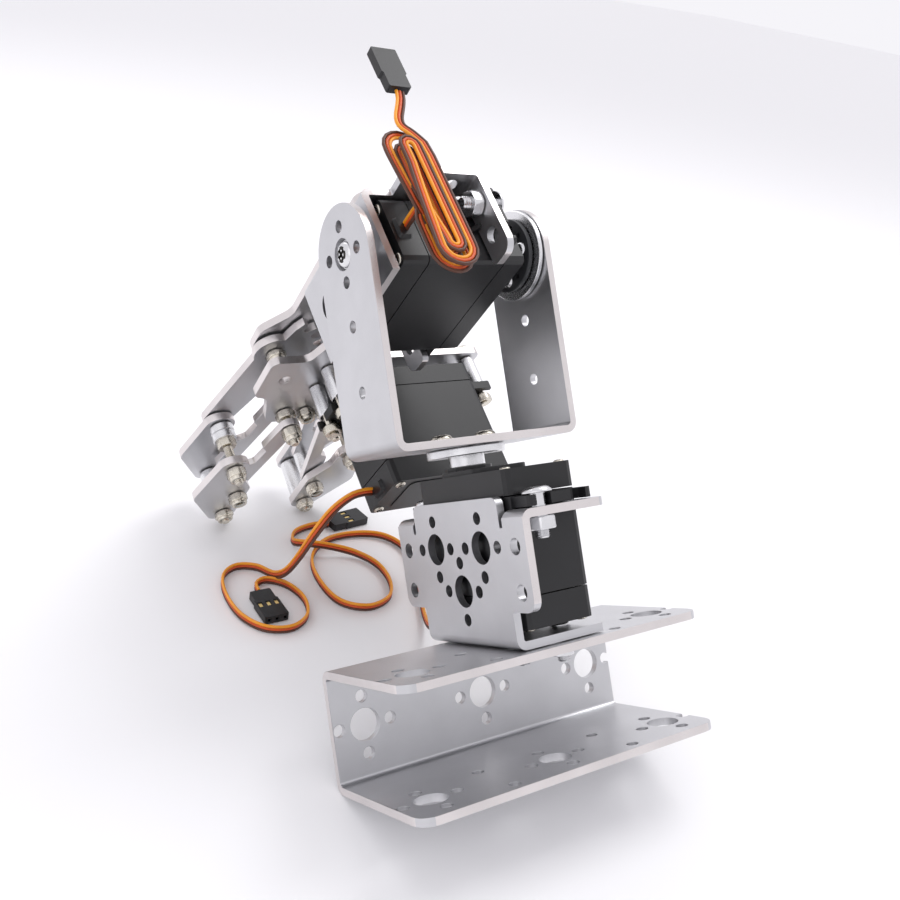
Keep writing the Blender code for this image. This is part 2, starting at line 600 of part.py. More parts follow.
def claw_top_plate(tilt):
    """Plate on the tilt bracket's face that carries the gear pivots."""
    back = -6.0 * MM
    front = GEAR_Y + 6.0 * MM
    wide = GEAR_PITCH + 6.0 * MM
    neck = 12.0 * MM
    tongue = POSTS[1][0] + 4.6 * MM
    c = CLAW_MIDDLE
    outline = [(back, c - neck, 3 * MM), (back, c + neck, 3 * MM), (43 * MM, c + neck, 5 * MM),
               (51 * MM, c + wide, 5 * MM), (front, c + wide, 5.8 * MM), (front, c + 7 * MM, 4 * MM),
               (tongue, c + 4.6 * MM, 4.4 * MM), (tongue, c - 4.6 * MM, 4.4 * MM), (front, c - 7 * MM, 4 * MM),
               (front, c - wide, 5.8 * MM), (51 * MM, c - wide, 5 * MM), (43 * MM, c - neck, 5 * MM)]
    holes = [circle(*claw_point(s, (GEAR_Y, GEAR_PITCH)), CLAW_HOLE, 8) for s in (-1, 1)]
    holes += [circle(*TOP_BOLT, CLAW_HOLE, 8)]
    holes += [circle(y, z, CLAW_HOLE, 8) for y, z in POSTS]
    holes += [circle(54 * MM, c, 4 * MM, 14)]
    sheet("claw_top_plate", tilt, "yz", [rounded(outline)] + holes, (TOP_PLATE_X, TOP_PLATE_X + CLAW_SHEET),
          ALUMINIUM)
    profile = claw_screw_profile(TOP_PLATE_X - GAP, PLATE_X + SHEET + GAP, 2.2 * MM, 1.2 * MM)
    turned("claw_plate_bolt", tilt, "yz", (0, *TOP_BOLT), profile, STEEL, 8)


# Where the top plate is bolted to the bracket, and the posts under it.
TOP_BOLT = (SHAFT_OFFSET + EAR_HOLE_X, TILT_SEAT_Z + PLATE_CENTRE_Z)
POSTS = [(42.6 * MM, CLAW_MIDDLE), (76.0 * MM, CLAW_MIDDLE)]


def claw_screw_profile(head_side, nut_side, nut_thickness, tail, head=2.8 * MM, radius=CLAW_SCREW):
    """Screw along x: its head lies above head_side (smaller x), its nut below nut_side."""
    return [(0, nut_side + nut_thickness + tail), (radius, nut_side + nut_thickness + tail),
            (radius, nut_side + nut_thickness), (3.1 * MM, nut_side + nut_thickness), (3.1 * MM, nut_side),
            (radius, nut_side), (radius, head_side), (head, head_side), (head, head_side - 1.3 * MM),
            (head * 0.6, head_side - 1.9 * MM), (0, head_side - 1.9 * MM)]


def claw_servo_plate(tilt):
    """Plate under the links: the third servo hangs from it on standoffs."""
    c = CLAW_MIDDLE
    servo_mid = claw_z(1, GEAR_PITCH) + SHAFT_OFFSET
    right = servo_mid + EAR_HOLE_X + 4 * MM
    left = c - 20.5 * MM
    front = GEAR_Y + 9.0 * MM
    tongue = LINK_PIVOT[0] + 5.5 * MM
    tab = POSTS[0][0] - 3.9 * MM
    back = GEAR_Y - 9.0 * MM
    outline = [(tab, c - 4.6 * MM, 3.5 * MM), (tab, c + 4.6 * MM, 3.5 * MM), (back, c + 9 * MM, 3 * MM),
               (back, right, 2.5 * MM), (front, right, 2.5 * MM), (front, c + 16 * MM, 4 * MM),
               (tongue, c + 11.5 * MM, 4 * MM), (tongue, c - 11.5 * MM, 4 * MM), (front, c - 16 * MM, 4 * MM),
               (front, left, 2.5 * MM), (back, left, 2.5 * MM), (back, c - 9 * MM, 3 * MM)]
    holes = [circle(*claw_point(s, LINK_PIVOT), CLAW_HOLE, 8) for s in (-1, 1)]
    holes += [circle(y, z, CLAW_HOLE, 8) for y, z in POSTS]
    holes += [circle(GEAR_Y, claw_z(1, GEAR_PITCH), 6.6 * MM, 16)]
    holes += [circle(*claw_point(-1, (GEAR_Y, GEAR_PITCH)), CLAW_HOLE, 8)]
    ears = [(GEAR_Y + a * 5.0 * MM, servo_mid + s * EAR_HOLE_X) for s in (-1, 1) for a in (-1, 1)]
    holes += [circle(y, z, CLAW_HOLE, 8) for y, z in ears]
    span = (SERVO_PLATE_X, SERVO_PLATE_X + CLAW_SHEET)
    sheet("claw_servo_plate", tilt, "yz", [rounded(outline)] + holes, span, ALUMINIUM)
    for i, (y, z) in enumerate(POSTS):
        low = TOP_PLATE_X + CLAW_SHEET + GAP
        high = SERVO_PLATE_X - GAP
        profile = [(0, high + CLAW_SHEET + 4.1 * MM), (2.8 * MM, high + CLAW_SHEET + 4.1 * MM),
                   (2.8 * MM, high + CLAW_SHEET + 2 * GAP), (CLAW_SCREW, high + CLAW_SHEET + 2 * GAP),
                   (CLAW_SCREW, high), (2.6 * MM, high), (2.6 * MM, low), (CLAW_SCREW, low),
                   (CLAW_SCREW, TOP_PLATE_X - GAP), (2.8 * MM, TOP_PLATE_X - GAP),
                   (2.8 * MM, TOP_PLATE_X - GAP - 1.8 * MM), (0, TOP_PLATE_X - GAP - 1.8 * MM)]
        turned(f"claw_post_{i + 1}", tilt, "yz", (0, y, z), profile, ALUMINIUM, 8)
    for i, (y, z) in enumerate(ears):
        low = SERVO_PLATE_X + CLAW_SHEET + GAP
        high = CLAW_SEAT_X - EAR_THICKNESS - 2 * GAP
        profile = [(0, CLAW_SEAT_X + 3.6 * MM), (2.8 * MM, CLAW_SEAT_X + 3.6 * MM), (2.8 * MM, CLAW_SEAT_X + 0.6 * MM),
                   (CLAW_SCREW, CLAW_SEAT_X + 0.6 * MM), (CLAW_SCREW, high), (2.6 * MM, high), (2.6 * MM, low),
                   (CLAW_SCREW, low), (CLAW_SCREW, SERVO_PLATE_X - GAP), (2.8 * MM, SERVO_PLATE_X - GAP),
                   (2.8 * MM, SERVO_PLATE_X - GAP - 1.8 * MM), (0, SERVO_PLATE_X - GAP - 1.8 * MM)]
        turned(f"claw_servo_standoff_{i + 1}", tilt, "yz", (0, y, z), profile, ALUMINIUM, 8)


def from_pivot(spot, pivot, side):
    """Outline point of a spot (forwards, sideways) as seen from a pivot's own frame."""
    return (spot[0] - pivot[0], (spot[1] - pivot[1]) * side)


def gear_sector(centre, facing, phase):
    """Sector of a spur gear round a hub; facing is the angle of its toothed side."""
    module = 2 * GEAR_PITCH / GEAR_TEETH
    tip = GEAR_PITCH + 0.85 * module
    root = GEAR_PITCH - 1.15 * module
    pitch = 2 * math.pi / GEAR_TEETH
    points = []
    for k in range(-3, 4):
        middle = facing + (k + phase) * pitch
        for radius, part in ((root, -0.36), (tip, -0.13), (tip, 0.13), (root, 0.36)):
            points.append((radius, middle + part * pitch))
    first = points[0][1]
    last = points[-1][1]
    hub = 6.5 * MM
    sweep = 2 * math.pi - (last - first)
    points += [(hub, last + sweep * (k + 1) / 9) for k in range(8)]
    return [(centre[0] + r * math.cos(a), centre[1] + r * math.sin(a)) for r, a in points]


def gear_arm(name, frame, side):
    """Arm with its gear sector; the frame stands on the gear's pivot."""
    end = from_pivot(FINGER_PIVOT, GEAR_PIVOT, side)
    span = (ARM_X, ARM_X + CLAW_SHEET)
    arm = sheet(name, frame, "yz", [stadium((0, 0), end, 4.8 * MM)], span, ALUMINIUM)
    phase = 0.0 if side > 0 else 0.5
    teeth = gear_sector((0, 0), -math.pi / 2 * side, phase)
    sector = sheet(name + "_sector", frame, "yz", [teeth], span, None, True)
    boolean(arm, [sector], "UNION")
    cutters = bore(name + "_hole", frame, "yz", [(ARM_X, 0, 0), (ARM_X, *end)], CLAW_HOLE, 5 * MM, 10)
    boolean(arm, cutters, "DIFFERENCE")


def claw_drive_horn(frame):
    """The claw servo's output shaft with its horn, hub and the screw through the drive gear."""
    low = CLAW_SEAT_X - BOSS_TOP + 4.5 * MM
    tip = CLAW_SEAT_X - SPLINE_TOP
    disc = -3.6 * MM
    arm_low = ARM_X + CLAW_SHEET + GAP
    top = TOP_PLATE_X - GAP
    profile = [(0, low), (SHAFT_RADIUS, low), (SHAFT_RADIUS, tip + 2.4 * MM), (4.6 * MM, tip + 2.4 * MM),
               (4.6 * MM, disc), (9.5 * MM, disc), (9.5 * MM, disc - 2 * MM), (4.5 * MM, disc - 2 * MM),
               (4.5 * MM, arm_low), (CLAW_SCREW, arm_low), (CLAW_SCREW, top), (2.8 * MM, top),
               (2.8 * MM, top - 1.8 * MM), (0, top - 1.8 * MM)]
    turned("claw_drive_horn", frame, "yz", (0, 0, 0), profile, STEEL, 16)


def link_outline(side):
    """Link between its two pivots, waisted where the finger's spacer comes close as the claw shuts."""
    start = Vector((0, 0))
    end = Vector(from_pivot(FAR_PIVOT, LINK_PIVOT, side))
    along = (end - start).normalized()
    out = Vector((-along.y, along.x)) * side
    length = (end - start).length
    wide = 3.2 * MM
    waist = 0.8 * MM
    corners = [(-wide, -wide, wide * 0.95), (length + wide, -wide, wide * 0.95),
               (length + wide, wide, wide * 0.95), (22.5 * MM, wide, 1.5 * MM), (20.5 * MM, waist, 1.5 * MM),
               (13.5 * MM, waist, 1.5 * MM), (11.5 * MM, wide, 1.5 * MM), (-wide, wide, wide * 0.95)]
    return rounded([(*(along * a + out * b), r) for a, b, r in corners], 3), end


def follower(name, frame, side):
    """Parallel link: an upper and a lower bar joined by a sleeve at the finger end."""
    outline, end = link_outline(side)
    bar = 2.2 * MM
    link = sheet(name, frame, "yz", [outline], (LOWER_LINK_X, LOWER_LINK_X + bar), ALUMINIUM)
    upper = sheet(name + "_upper", frame, "yz", [outline], (UPPER_LINK_X, UPPER_LINK_X + bar), None, True)
    sleeve_span = rod(3.1 * MM, UPPER_LINK_X + 1 * MM, LOWER_LINK_X + 1 * MM)
    sleeve = turned(name + "_sleeve", frame, "yz", (0, *end), sleeve_span, None, 12, True)
    boolean(link, [upper, sleeve], "UNION")
    boolean(link, bore(name + "_hole", frame, "yz", [(0, 0, 0), (0, *end)], CLAW_HOLE, 20 * MM, 10), "DIFFERENCE")


def finger_outline(side):
    """Finger plate: pivot eye, second eye on its straight inner edge, outward elbow and round tip."""
    py, pz = FINGER_PIVOT
    inner = TIP[1] - TIP_RADIUS
    end = TIP[0] + TIP_RADIUS
    corners = [(py - 4.6 * MM, pz + 4.4 * MM, 4.2 * MM), (py - 4.6 * MM, pz - 4.6 * MM, 4.2 * MM),
               (py + 6 * MM, pz - 4.6 * MM, 4 * MM), (py + 14.5 * MM, inner, 3 * MM), (end, inner, 4.3 * MM),
               (end, TIP[1] + 3.5 * MM, 4 * MM), (py + 18 * MM, pz + 8.5 * MM, 5 * MM)]
    outline = rounded([(*from_pivot((y, z), FINGER_PIVOT, side), r) for y, z, r in corners], 3)
    holes = [circle(*from_pivot(spot, FINGER_PIVOT, side), CLAW_HOLE, 8) for spot in (FINGER_PIVOT, FAR_PIVOT, TIP)]
    return [outline] + holes


def finger(tag, frame, side):
    loops = finger_outline(side)
    bar = CLAW_SHEET
    sheet(f"finger_{tag}_upper_plate", frame, "yz", loops, (UPPER_FINGER_X, UPPER_FINGER_X + bar), ALUMINIUM)
    sheet(f"finger_{tag}_lower_plate", frame, "yz", loops, (LOWER_FINGER_X, LOWER_FINGER_X + bar), ALUMINIUM)
    lower = LOWER_FINGER_X + bar + GAP
    upper_low = UPPER_FINGER_X + bar + GAP
    spacer = 3.7 * MM
    nut = 3.1 * MM
    stack = [(0, lower + 5.0 * MM), (CLAW_SCREW, lower + 5.0 * MM), (CLAW_SCREW, lower + 3.8 * MM),
             (nut, lower + 3.6 * MM), (nut, lower), (CLAW_SCREW, lower), (CLAW_SCREW, upper_low + 7.6 * MM),
             (nut, upper_low + 7.6 * MM), (nut, upper_low + 5.0 * MM), (spacer, upper_low + 5.0 * MM),
             (spacer, upper_low), (CLAW_SCREW, upper_low), (CLAW_SCREW, ARM_X - GAP), (2.8 * MM, ARM_X - GAP),
             (2.8 * MM, ARM_X - GAP - 1.6 * MM), (0, ARM_X - GAP - 1.6 * MM)]
    turned(f"finger_{tag}_pivot_screw", frame, "yz", (0, 0, 0), stack, STEEL, 8)
    top = UPPER_FINGER_X - GAP
    tip = [(0, lower + 3.6 * MM), (CLAW_SCREW, lower + 3.6 * MM), (CLAW_SCREW, lower + 2.6 * MM),
           (nut, lower + 2.4 * MM), (nut, lower), (CLAW_SCREW, lower), (CLAW_SCREW, LOWER_FINGER_X - GAP),
           (spacer, LOWER_FINGER_X - GAP), (spacer, upper_low), (CLAW_SCREW, upper_low), (CLAW_SCREW, top),
           (2.8 * MM, top), (2.8 * MM, top - 1.6 * MM), (0, top - 1.6 * MM)]
    spot = from_pivot(TIP, FINGER_PIVOT, side)
    turned(f"finger_{tag}_tip_spacer", frame, "yz", (0, *spot), tip, ALUMINIUM, 8)
    link = [(0, lower + 3.4 * MM), (nut, lower + 3.2 * MM), (nut, lower), (CLAW_SCREW, lower), (CLAW_SCREW, top),
            (2.8 * MM, top), (2.8 * MM, top - 1.6 * MM), (0, top - 1.6 * MM)]
    spot = from_pivot(FAR_PIVOT, FINGER_PIVOT, side)
    turned(f"finger_{tag}_link_screw", frame, "yz", (0, *spot), link, STEEL, 8)


def claw_fixed_screws(tilt):
    """Pivot screws that stay with the claw's plates: the driven gear's and the two links'."""
    profile = claw_screw_profile(TOP_PLATE_X - GAP, ARM_X + CLAW_SHEET + GAP, 2.4 * MM, 1.0 * MM)
    y, z = claw_point(-1, (GEAR_Y, GEAR_PITCH))
    turned("driven_gear_pivot", tilt, "yz", (0, y, z), profile, STEEL, 8)
    for i, s in enumerate((-1, 1)):
        y, z = claw_point(s, LINK_PIVOT)
        low = UPPER_LINK_X - GAP
        high = LOWER_LINK_X + 2.2 * MM + GAP
        under = SERVO_PLATE_X + CLAW_SHEET + GAP
        profile = [(0, high + 5.2 * MM), (CLAW_SCREW, high + 5.2 * MM), (CLAW_SCREW, high + 4.0 * MM),
                   (3.1 * MM, high + 3.6 * MM), (3.1 * MM, high), (CLAW_SCREW, high), (CLAW_SCREW, under + 2.6 * MM),
                   (3.1 * MM, under + 2.6 * MM), (3.1 * MM, under), (CLAW_SCREW, under), (CLAW_SCREW, low),
                   (2.8 * MM, low), (2.8 * MM, low - 1.7 * MM), (0, low - 1.7 * MM)]
        turned(f"link_pivot_{i + 1}", tilt, "yz", (0, y, z), profile, STEEL, 8)


# ---------------------------------------------------------------- leads


def smooth_points(route, count):
    """Evenly spread points on a smooth curve through the route's own points."""
    knots = [Vector(route[0])] + [Vector(p) for p in route] + [Vector(route[-1])]
    dense = []
    for a, b, c, d in zip(knots, knots[1:], knots[2:], knots[3:]):
        for k in range(12):
            t = k / 12
            dense.append(0.5 * (2 * b + (c - a) * t + (2 * a - 5 * b + 4 * c - d) * t ** 2
                                + (3 * b - a - 3 * c + d) * t ** 3))
    dense.append(knots[-2])
    lengths = [0.0]
    for p, q in zip(dense, dense[1:]):
        lengths.append(lengths[-1] + (q - p).length)
    points = []
    for k in range(count):
        target = lengths[-1] * k / (count - 1)
        i = next(j for j in range(1, len(dense)) if lengths[j] >= target - 1e-9)
        part = (target - lengths[i - 1]) / max(lengths[i] - lengths[i - 1], 1e-9)
        points.append(dense[i - 1].lerp(dense[i], part))
    return points


def lead(name, route, count):
    curve = bpy.data.curves.new(name, "CURVE")
    curve.dimensions = "3D"
    curve.bevel_depth = LEAD_RADIUS
    curve.bevel_resolution = 2
    curve.use_fill_caps = True
    spline = curve.splines.new("POLY")
    points = smooth_points(route, count)
    spline.points.add(count - 1)
    for point, spot in zip(spline.points, points):
        point.co = (*spot, 1)
    made = bpy.data.objects.new(name, curve)
    PARTS.objects.link(made)
    curve.materials.append(LEAD)


def plug(name, at, heading, pitch, roll):
    """Three-pin plug whose cable end is at the given point, pointing along heading and pitch."""
    turn = Matrix.Rotation(heading, 4, "Z") @ Matrix.Rotation(-pitch, 4, "Y") @ Matrix.Rotation(roll, 4, "X")
    empty = frame_empty(name + "_frame", None, Matrix.Translation(at) @ turn)
    length, width, height = PLUG_SIZE
    return block(name, empty, (GAP, -width / 2, -height / 2), (length, width / 2, height / 2), PLASTIC, bevel=0.3 * MM)


def main():
    to_middle = Matrix.Translation((-BOX_CENTRE[0], -BOX_CENTRE[1], REST_LIFT))
    root = frame_empty("arm_root", None, to_middle @ Matrix.Rotation(-TIP_BACK, 4, "X"))
    stand = frame_empty("stand_frame", root, Matrix.Identity(4))
    base_beam(stand)

    seat = frame_empty("pan_servo_seat", stand, Matrix.Translation((*PAN_AXIS, SEAT_Z)))
    servo_bracket("pan_bracket", seat, -1)
    servo("pan_servo", seat, -1, False)
    ear_bolts("pan_servo", seat, -1)
    foot_bolts(seat, -1)

    pan = frame_empty("pan_joint", stand, Matrix.Translation((*PAN_AXIS, 0)) @ Matrix.Rotation(PAN_ANGLE, 4, "Z"))
    horn_seat = frame_empty("pan_horn_frame", pan, Matrix.Translation((0, 0, SEAT_Z)))
    pan_horn(horn_seat)
    u_bracket(pan)
    tilt_joint_pieces(pan)

    # x down and slightly forwards, y forwards along the claw, z along the tilt axis.
    s, c = math.sin(TILT_ANGLE), math.cos(TILT_ANGLE)
    axes = Matrix(((0, 0, 1), (-s, c, 0), (-c, -s, 0))).to_4x4()
    tilt = frame_empty("tilt_joint", pan, Matrix.Translation((0, 0, TILT_Z)) @ axes)
    tilt_seat = frame_empty("tilt_servo_seat", tilt, Matrix.Translation((0, 0, TILT_SEAT_Z)))
    servo_bracket("tilt_bracket", tilt_seat, 1)
    servo("tilt_servo", tilt_seat, 1, False)
    ear_bolts("tilt_servo", tilt_seat, 1)
    tilt_bearing(tilt)

    claw_top_plate(tilt)
    claw_servo_plate(tilt)
    claw_fixed_screws(tilt)
    turn = Matrix(((0, 0, -1), (-1, 0, 0), (0, 1, 0))).to_4x4()
    drive = Matrix.Translation((CLAW_SEAT_X, GEAR_Y, claw_z(1, GEAR_PITCH)))
    servo("claw_servo", frame_empty("claw_servo_seat", tilt, drive @ turn), 1, False)
    for tag, side in (("right", 1), ("left", -1)):
        gear = claw_point(side, GEAR_PIVOT)
        arm = frame_empty(f"{tag}_gear_joint", tilt, Matrix.Translation((0, *gear)))
        gear_arm(f"{tag}_gear_arm", arm, side)
        if side > 0:
            claw_drive_horn(arm)
        link = frame_empty(f"{tag}_link_joint", tilt, Matrix.Translation((0, *claw_point(side, LINK_PIVOT))))
        follower(f"{tag}_follower", link, side)
        tip = from_pivot(FINGER_PIVOT, GEAR_PIVOT, side)
        finger(tag, frame_empty(f"{tag}_finger_joint", arm, Matrix.Translation((0, *tip))), side)
    bpy.context.view_layer.update()
    leads(tilt)


def leads(tilt):
    lead("pan_lead", [Vector(p) * MM for p in PAN_LEAD_ROUTE], 42)
    plug("pan_lead_plug", Vector(PAN_LEAD_ROUTE[-1]) * MM, math.radians(8), 0, 0)
    lead("claw_lead", [Vector(p) * MM for p in CLAW_LEAD_ROUTE], 34)
    plug("claw_lead_plug", Vector(CLAW_LEAD_ROUTE[-1]) * MM, math.radians(-89), 0, 0)
    world = tilt.matrix_world
    for name, route, count in (("tilt_lead_tail", TILT_TAIL, 8), ("tilt_lead_end", TILT_END, 10)):
        lead(name, [world @ (Vector(p) * MM) for p in route], count)
    low, high = HANK
    half = (high[2] - low[2]) / 2
    middle = (high[2] + low[2]) / 2
    outline = stadium((low[0] * MM + half * MM, middle * MM), (high[0] * MM - half * MM, middle * MM), half * MM, 5)
    hank = sheet("tilt_lead_hank", tilt, "zx", [[(z, x) for x, z in outline]], (low[1] * MM, high[1] * MM), LEAD)
    end = Vector(TILT_END[-1]) * MM
    length, width, height = PLUG_SIZE
    block("tilt_lead_plug", tilt, (end.x - length, end.y - height / 2, end.z - width / 2),
          (end.x - GAP, end.y + height / 2, end.z + width / 2), PLASTIC, bevel=0.3 * MM)




main()
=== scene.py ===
import json
import math
import bmesh
import bpy
from mathutils import Matrix, Vector


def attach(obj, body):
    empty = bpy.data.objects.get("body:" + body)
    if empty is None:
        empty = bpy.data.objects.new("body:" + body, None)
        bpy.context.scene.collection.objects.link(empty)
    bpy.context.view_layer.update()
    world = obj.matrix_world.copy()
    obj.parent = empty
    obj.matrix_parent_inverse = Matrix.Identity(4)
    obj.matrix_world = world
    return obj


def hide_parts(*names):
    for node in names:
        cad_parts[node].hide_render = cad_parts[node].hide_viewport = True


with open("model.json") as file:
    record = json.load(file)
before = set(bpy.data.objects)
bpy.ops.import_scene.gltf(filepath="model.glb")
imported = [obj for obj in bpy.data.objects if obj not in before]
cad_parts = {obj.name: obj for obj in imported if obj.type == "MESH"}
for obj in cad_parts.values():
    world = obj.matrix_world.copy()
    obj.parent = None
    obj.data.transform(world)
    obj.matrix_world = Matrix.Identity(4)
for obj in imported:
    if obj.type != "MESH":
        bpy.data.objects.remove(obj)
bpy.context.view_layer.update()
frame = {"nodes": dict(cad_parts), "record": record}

MM = 0.001

# ------------------------------------------------------------------ camera, floor, light

VIEW = Matrix(((0.846171, 0.107069, -0.522044), (-0.508515, 0.45523, -0.730875),
               (0.159396, 0.883913, 0.439649)))
VIEW_FROM = (-0.140795, -0.210375, 0.185812)


def studio():
    scene = bpy.context.scene
    lens = bpy.data.cameras.new("camera")
    lens.lens = 40.908
    lens.sensor_width = 36
    lens.clip_start = 0.01
    camera = bpy.data.objects.new("camera", lens)
    camera.matrix_world = Matrix.Translation(VIEW_FROM) @ VIEW.to_4x4()
    scene.collection.objects.link(camera)
    scene.camera = camera

    cage = bmesh.new()
    bmesh.ops.create_grid(cage, x_segments=1, y_segments=1, size=6)
    ground = bpy.data.meshes.new("floor")
    cage.to_mesh(ground)
    cage.free()
    floor = bpy.data.objects.new("floor", ground)
    floor.location.z = -0.0002
    scene.collection.objects.link(floor)
    paper = simple("paper", (0.93, 0.925, 0.935), 0.75, 0.0)
    ground.materials.append(paper)

    world = bpy.data.worlds.new("studio")
    world.use_nodes = True
    world.node_tree.nodes["Background"].inputs["Color"].default_value = (0.97, 0.96, 1.0, 1)
    world.node_tree.nodes["Background"].inputs["Strength"].default_value = 0.95
    scene.world = world
    scene.view_settings.view_transform = "Standard"
    for name, spot, aim, size, power in (
            ("key", (0.45, 0.1, 0.8), (0, 0, 0.05), 0.45, 2.4),
            ("fill", (-0.7, -0.35, 0.5), (0, 0, 0.06), 0.7, 0.5),
            ("back", (-0.2, 0.8, 0.7), (0, 0, 0.06), 0.6, 1.0)):
        data = bpy.data.lights.new(name, "AREA")
        data.size = size
        data.energy = power
        lamp = bpy.data.objects.new(name, data)
        lamp.location = spot
        lamp.rotation_euler = (Vector(aim) - Vector(spot)).to_track_quat("-Z", "Y").to_euler()
        scene.collection.objects.link(lamp)


# ------------------------------------------------------------------ materials


def simple(name, colour, roughness, metallic):
    made = bpy.data.materials.new(name)
    made.use_nodes = True
    shader = made.node_tree.nodes["Principled BSDF"]
    shader.inputs["Base Color"].default_value = (*colour, 1)
    shader.inputs["Roughness"].default_value = roughness
    shader.inputs["Metallic"].default_value = metallic
    return made


def surface(name, colour, roughness, metallic, tint=0.06, grain=2500, bump=0.1, spread=0.1, stretch=None):
    """Principled material whose colour, roughness and fine relief come from noise in object space."""
    made = simple(name, colour, roughness, metallic)
    nodes, links = made.node_tree.nodes, made.node_tree.links
    shader = nodes["Principled BSDF"]
    place = nodes.new("ShaderNodeTexCoord")
    fine = nodes.new("ShaderNodeTexNoise")
    fine.inputs["Scale"].default_value = grain
    fine.inputs["Detail"].default_value = 4
    broad = nodes.new("ShaderNodeTexNoise")
    broad.inputs["Scale"].default_value = 90
    broad.inputs["Detail"].default_value = 5
    source = place.outputs["Object"]
    links.new(source, broad.inputs["Vector"])
    if stretch:
        scale = nodes.new("ShaderNodeMapping")
        scale.inputs["Scale"].default_value = stretch
        links.new(source, scale.inputs["Vector"])
        source = scale.outputs["Vector"]
    links.new(source, fine.inputs["Vector"])
    shade = nodes.new("ShaderNodeValToRGB")
    shade.color_ramp.elements[0].position = 0.3
    shade.color_ramp.elements[1].position = 0.7
    shade.color_ramp.elements[0].color = (*[c * (1 - tint) for c in colour], 1)
    shade.color_ramp.elements[1].color = (*[min(1, c * (1 + tint)) for c in colour], 1)
    links.new(broad.outputs["Fac"], shade.inputs["Fac"])
    links.new(shade.outputs["Color"], shader.inputs["Base Color"])
    gloss = nodes.new("ShaderNodeMapRange")
    gloss.inputs["To Min"].default_value = roughness * (1 - spread)
    gloss.inputs["To Max"].default_value = roughness * (1 + spread)
    links.new(fine.outputs["Fac"], gloss.inputs["Value"])
    links.new(gloss.outputs["Result"], shader.inputs["Roughness"])
    relief = nodes.new("ShaderNodeBump")
    relief.inputs["Strength"].default_value = bump
    relief.inputs["Distance"].default_value = 0.0001
    links.new(fine.outputs["Fac"], relief.inputs["Height"])
    links.new(relief.outputs["Normal"], shader.inputs["Normal"])
    return made


SHEET = surface("bead_blasted_aluminium", (0.60, 0.60, 0.615), 0.36, 1.0, 0.035, 5200, 0.35, 0.18)
EDGE = surface("cut_aluminium_edge", (0.74, 0.70, 0.69), 0.30, 1.0, 0.06, 3000, 0.25, 0.25, (1, 1, 4))
TURNED = surface("turned_aluminium", (0.79, 0.79, 0.80), 0.27, 1.0, 0.04, 2600, 0.12, 0.2, (1, 1, 6))
NICKEL = surface("nickel_plated_steel", (0.66, 0.62, 0.54), 0.26, 1.0, 0.10, 1800, 0.12, 0.3)
ZINC = surface("bright_zinc", (0.74, 0.74, 0.75), 0.24, 1.0, 0.08, 1800, 0.1, 0.3)
# painted shade: near-black colour put on the cross recess of every screw head, where shade falls in the hollow
RECESS_SHADE = simple("recess", (0.03, 0.028, 0.025), 0.6, 0.6)
PLASTIC = surface("moulded_black_plastic", (0.006, 0.006, 0.007), 0.42, 0.0, 0.25, 3600, 0.18, 0.2)
HORN = surface("dark_horn_plastic", (0.03, 0.031, 0.034), 0.4, 0.0, 0.2, 3000, 0.15, 0.2)
NYLON = surface("nylon_ring", (0.62, 0.63, 0.60), 0.5, 0.0, 0.1, 1200, 0.1, 0.2)
BRASS = surface("brass_contact", (0.80, 0.60, 0.25), 0.3, 1.0, 0.1, 1500, 0.1, 0.2)
WIRES = [surface("wire_brown", (0.085, 0.028, 0.014), 0.42, 0.0, 0.15, 1400, 0.12, 0.15),
         surface("wire_red_orange", (0.62, 0.085, 0.012), 0.4, 0.0, 0.1, 1400, 0.12, 0.15),
         surface("wire_orange", (0.86, 0.33, 0.015), 0.4, 0.0, 0.1, 1400, 0.12, 0.15)]

# ------------------------------------------------------------------ frames, from the record's joints

JOINT = {joint["name"]: joint for joint in frame["record"]["behaviour"]["joints"]}


def frame_of(origin, x, y, z):
    made = Matrix((x, y, z)).transposed().to_4x4()
    made.translation = origin
    return made


PAN_UP = Vector(JOINT["pan"]["axis"]).normalized()
STAND_X = Vector((1, 0, 0))
STAND_Y = PAN_UP.cross(STAND_X)
PAN_AT = Vector(JOINT["pan"]["pos_m"])
TILT_Z = Vector(JOINT["tilt"]["axis"]).normalized()
TILT_X = Vector(JOINT["claw_drive"]["axis"]).normalized()
TILT_Y = TILT_Z.cross(TILT_X)
TILT_AT = Vector(JOINT["tilt"]["pos_m"])
STAND = frame_of(PAN_AT, STAND_X, STAND_Y, PAN_UP)
PAN = frame_of(PAN_AT, TILT_Z, PAN_UP.cross(TILT_Z), PAN_UP)
TILT = frame_of(TILT_AT, TILT_X, TILT_Y, TILT_Z)
SEAT = 62.5
YOKE_TILT = 130.0
TILT_SEAT = 9.0


def at(base, x=0.0, y=0.0, z=0.0, turn=None):
    made = base @ Matrix.Translation(Vector((x, y, z)) * MM)
    return made @ turn.to_4x4() if turn else made


CLAW_UP = Matrix(((0, 0, -1), (1, 0, 0), (0, -1, 0)))      # local z up the claw's screws
TO_SIDE = Matrix(((0, 0, 1), (1, 0, 0), (0, 1, 0)))        # local z along the frame's x


# ------------------------------------------------------------------ mesh helpers (millimetres)


def put(name, cage, matrix, body, materials, smooth=35, replaced=()):
    """Finish a bmesh drawn in millimetres: scale, place, material slots, shading and body."""
    bmesh.ops.remove_doubles(cage, verts=cage.verts, dist=0.0005)
    bmesh.ops.recalc_face_normals(cage, faces=cage.faces)
    bmesh.ops.scale(cage, vec=(MM,) * 3, verts=cage.verts)
    mesh = bpy.data.meshes.new(name)
    cage.to_mesh(mesh)
    cage.free()
    for finish in materials:
        mesh.materials.append(finish)
    made = bpy.data.objects.new(name, mesh)
    bpy.context.scene.collection.objects.link(made)
    made.matrix_world = matrix
    shade(mesh, smooth)
    even = made.modifiers.new("even_shading", "WEIGHTED_NORMAL")
    even.keep_sharp = True
    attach(made, body)
    if replaced:
        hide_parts(*replaced)
    return made


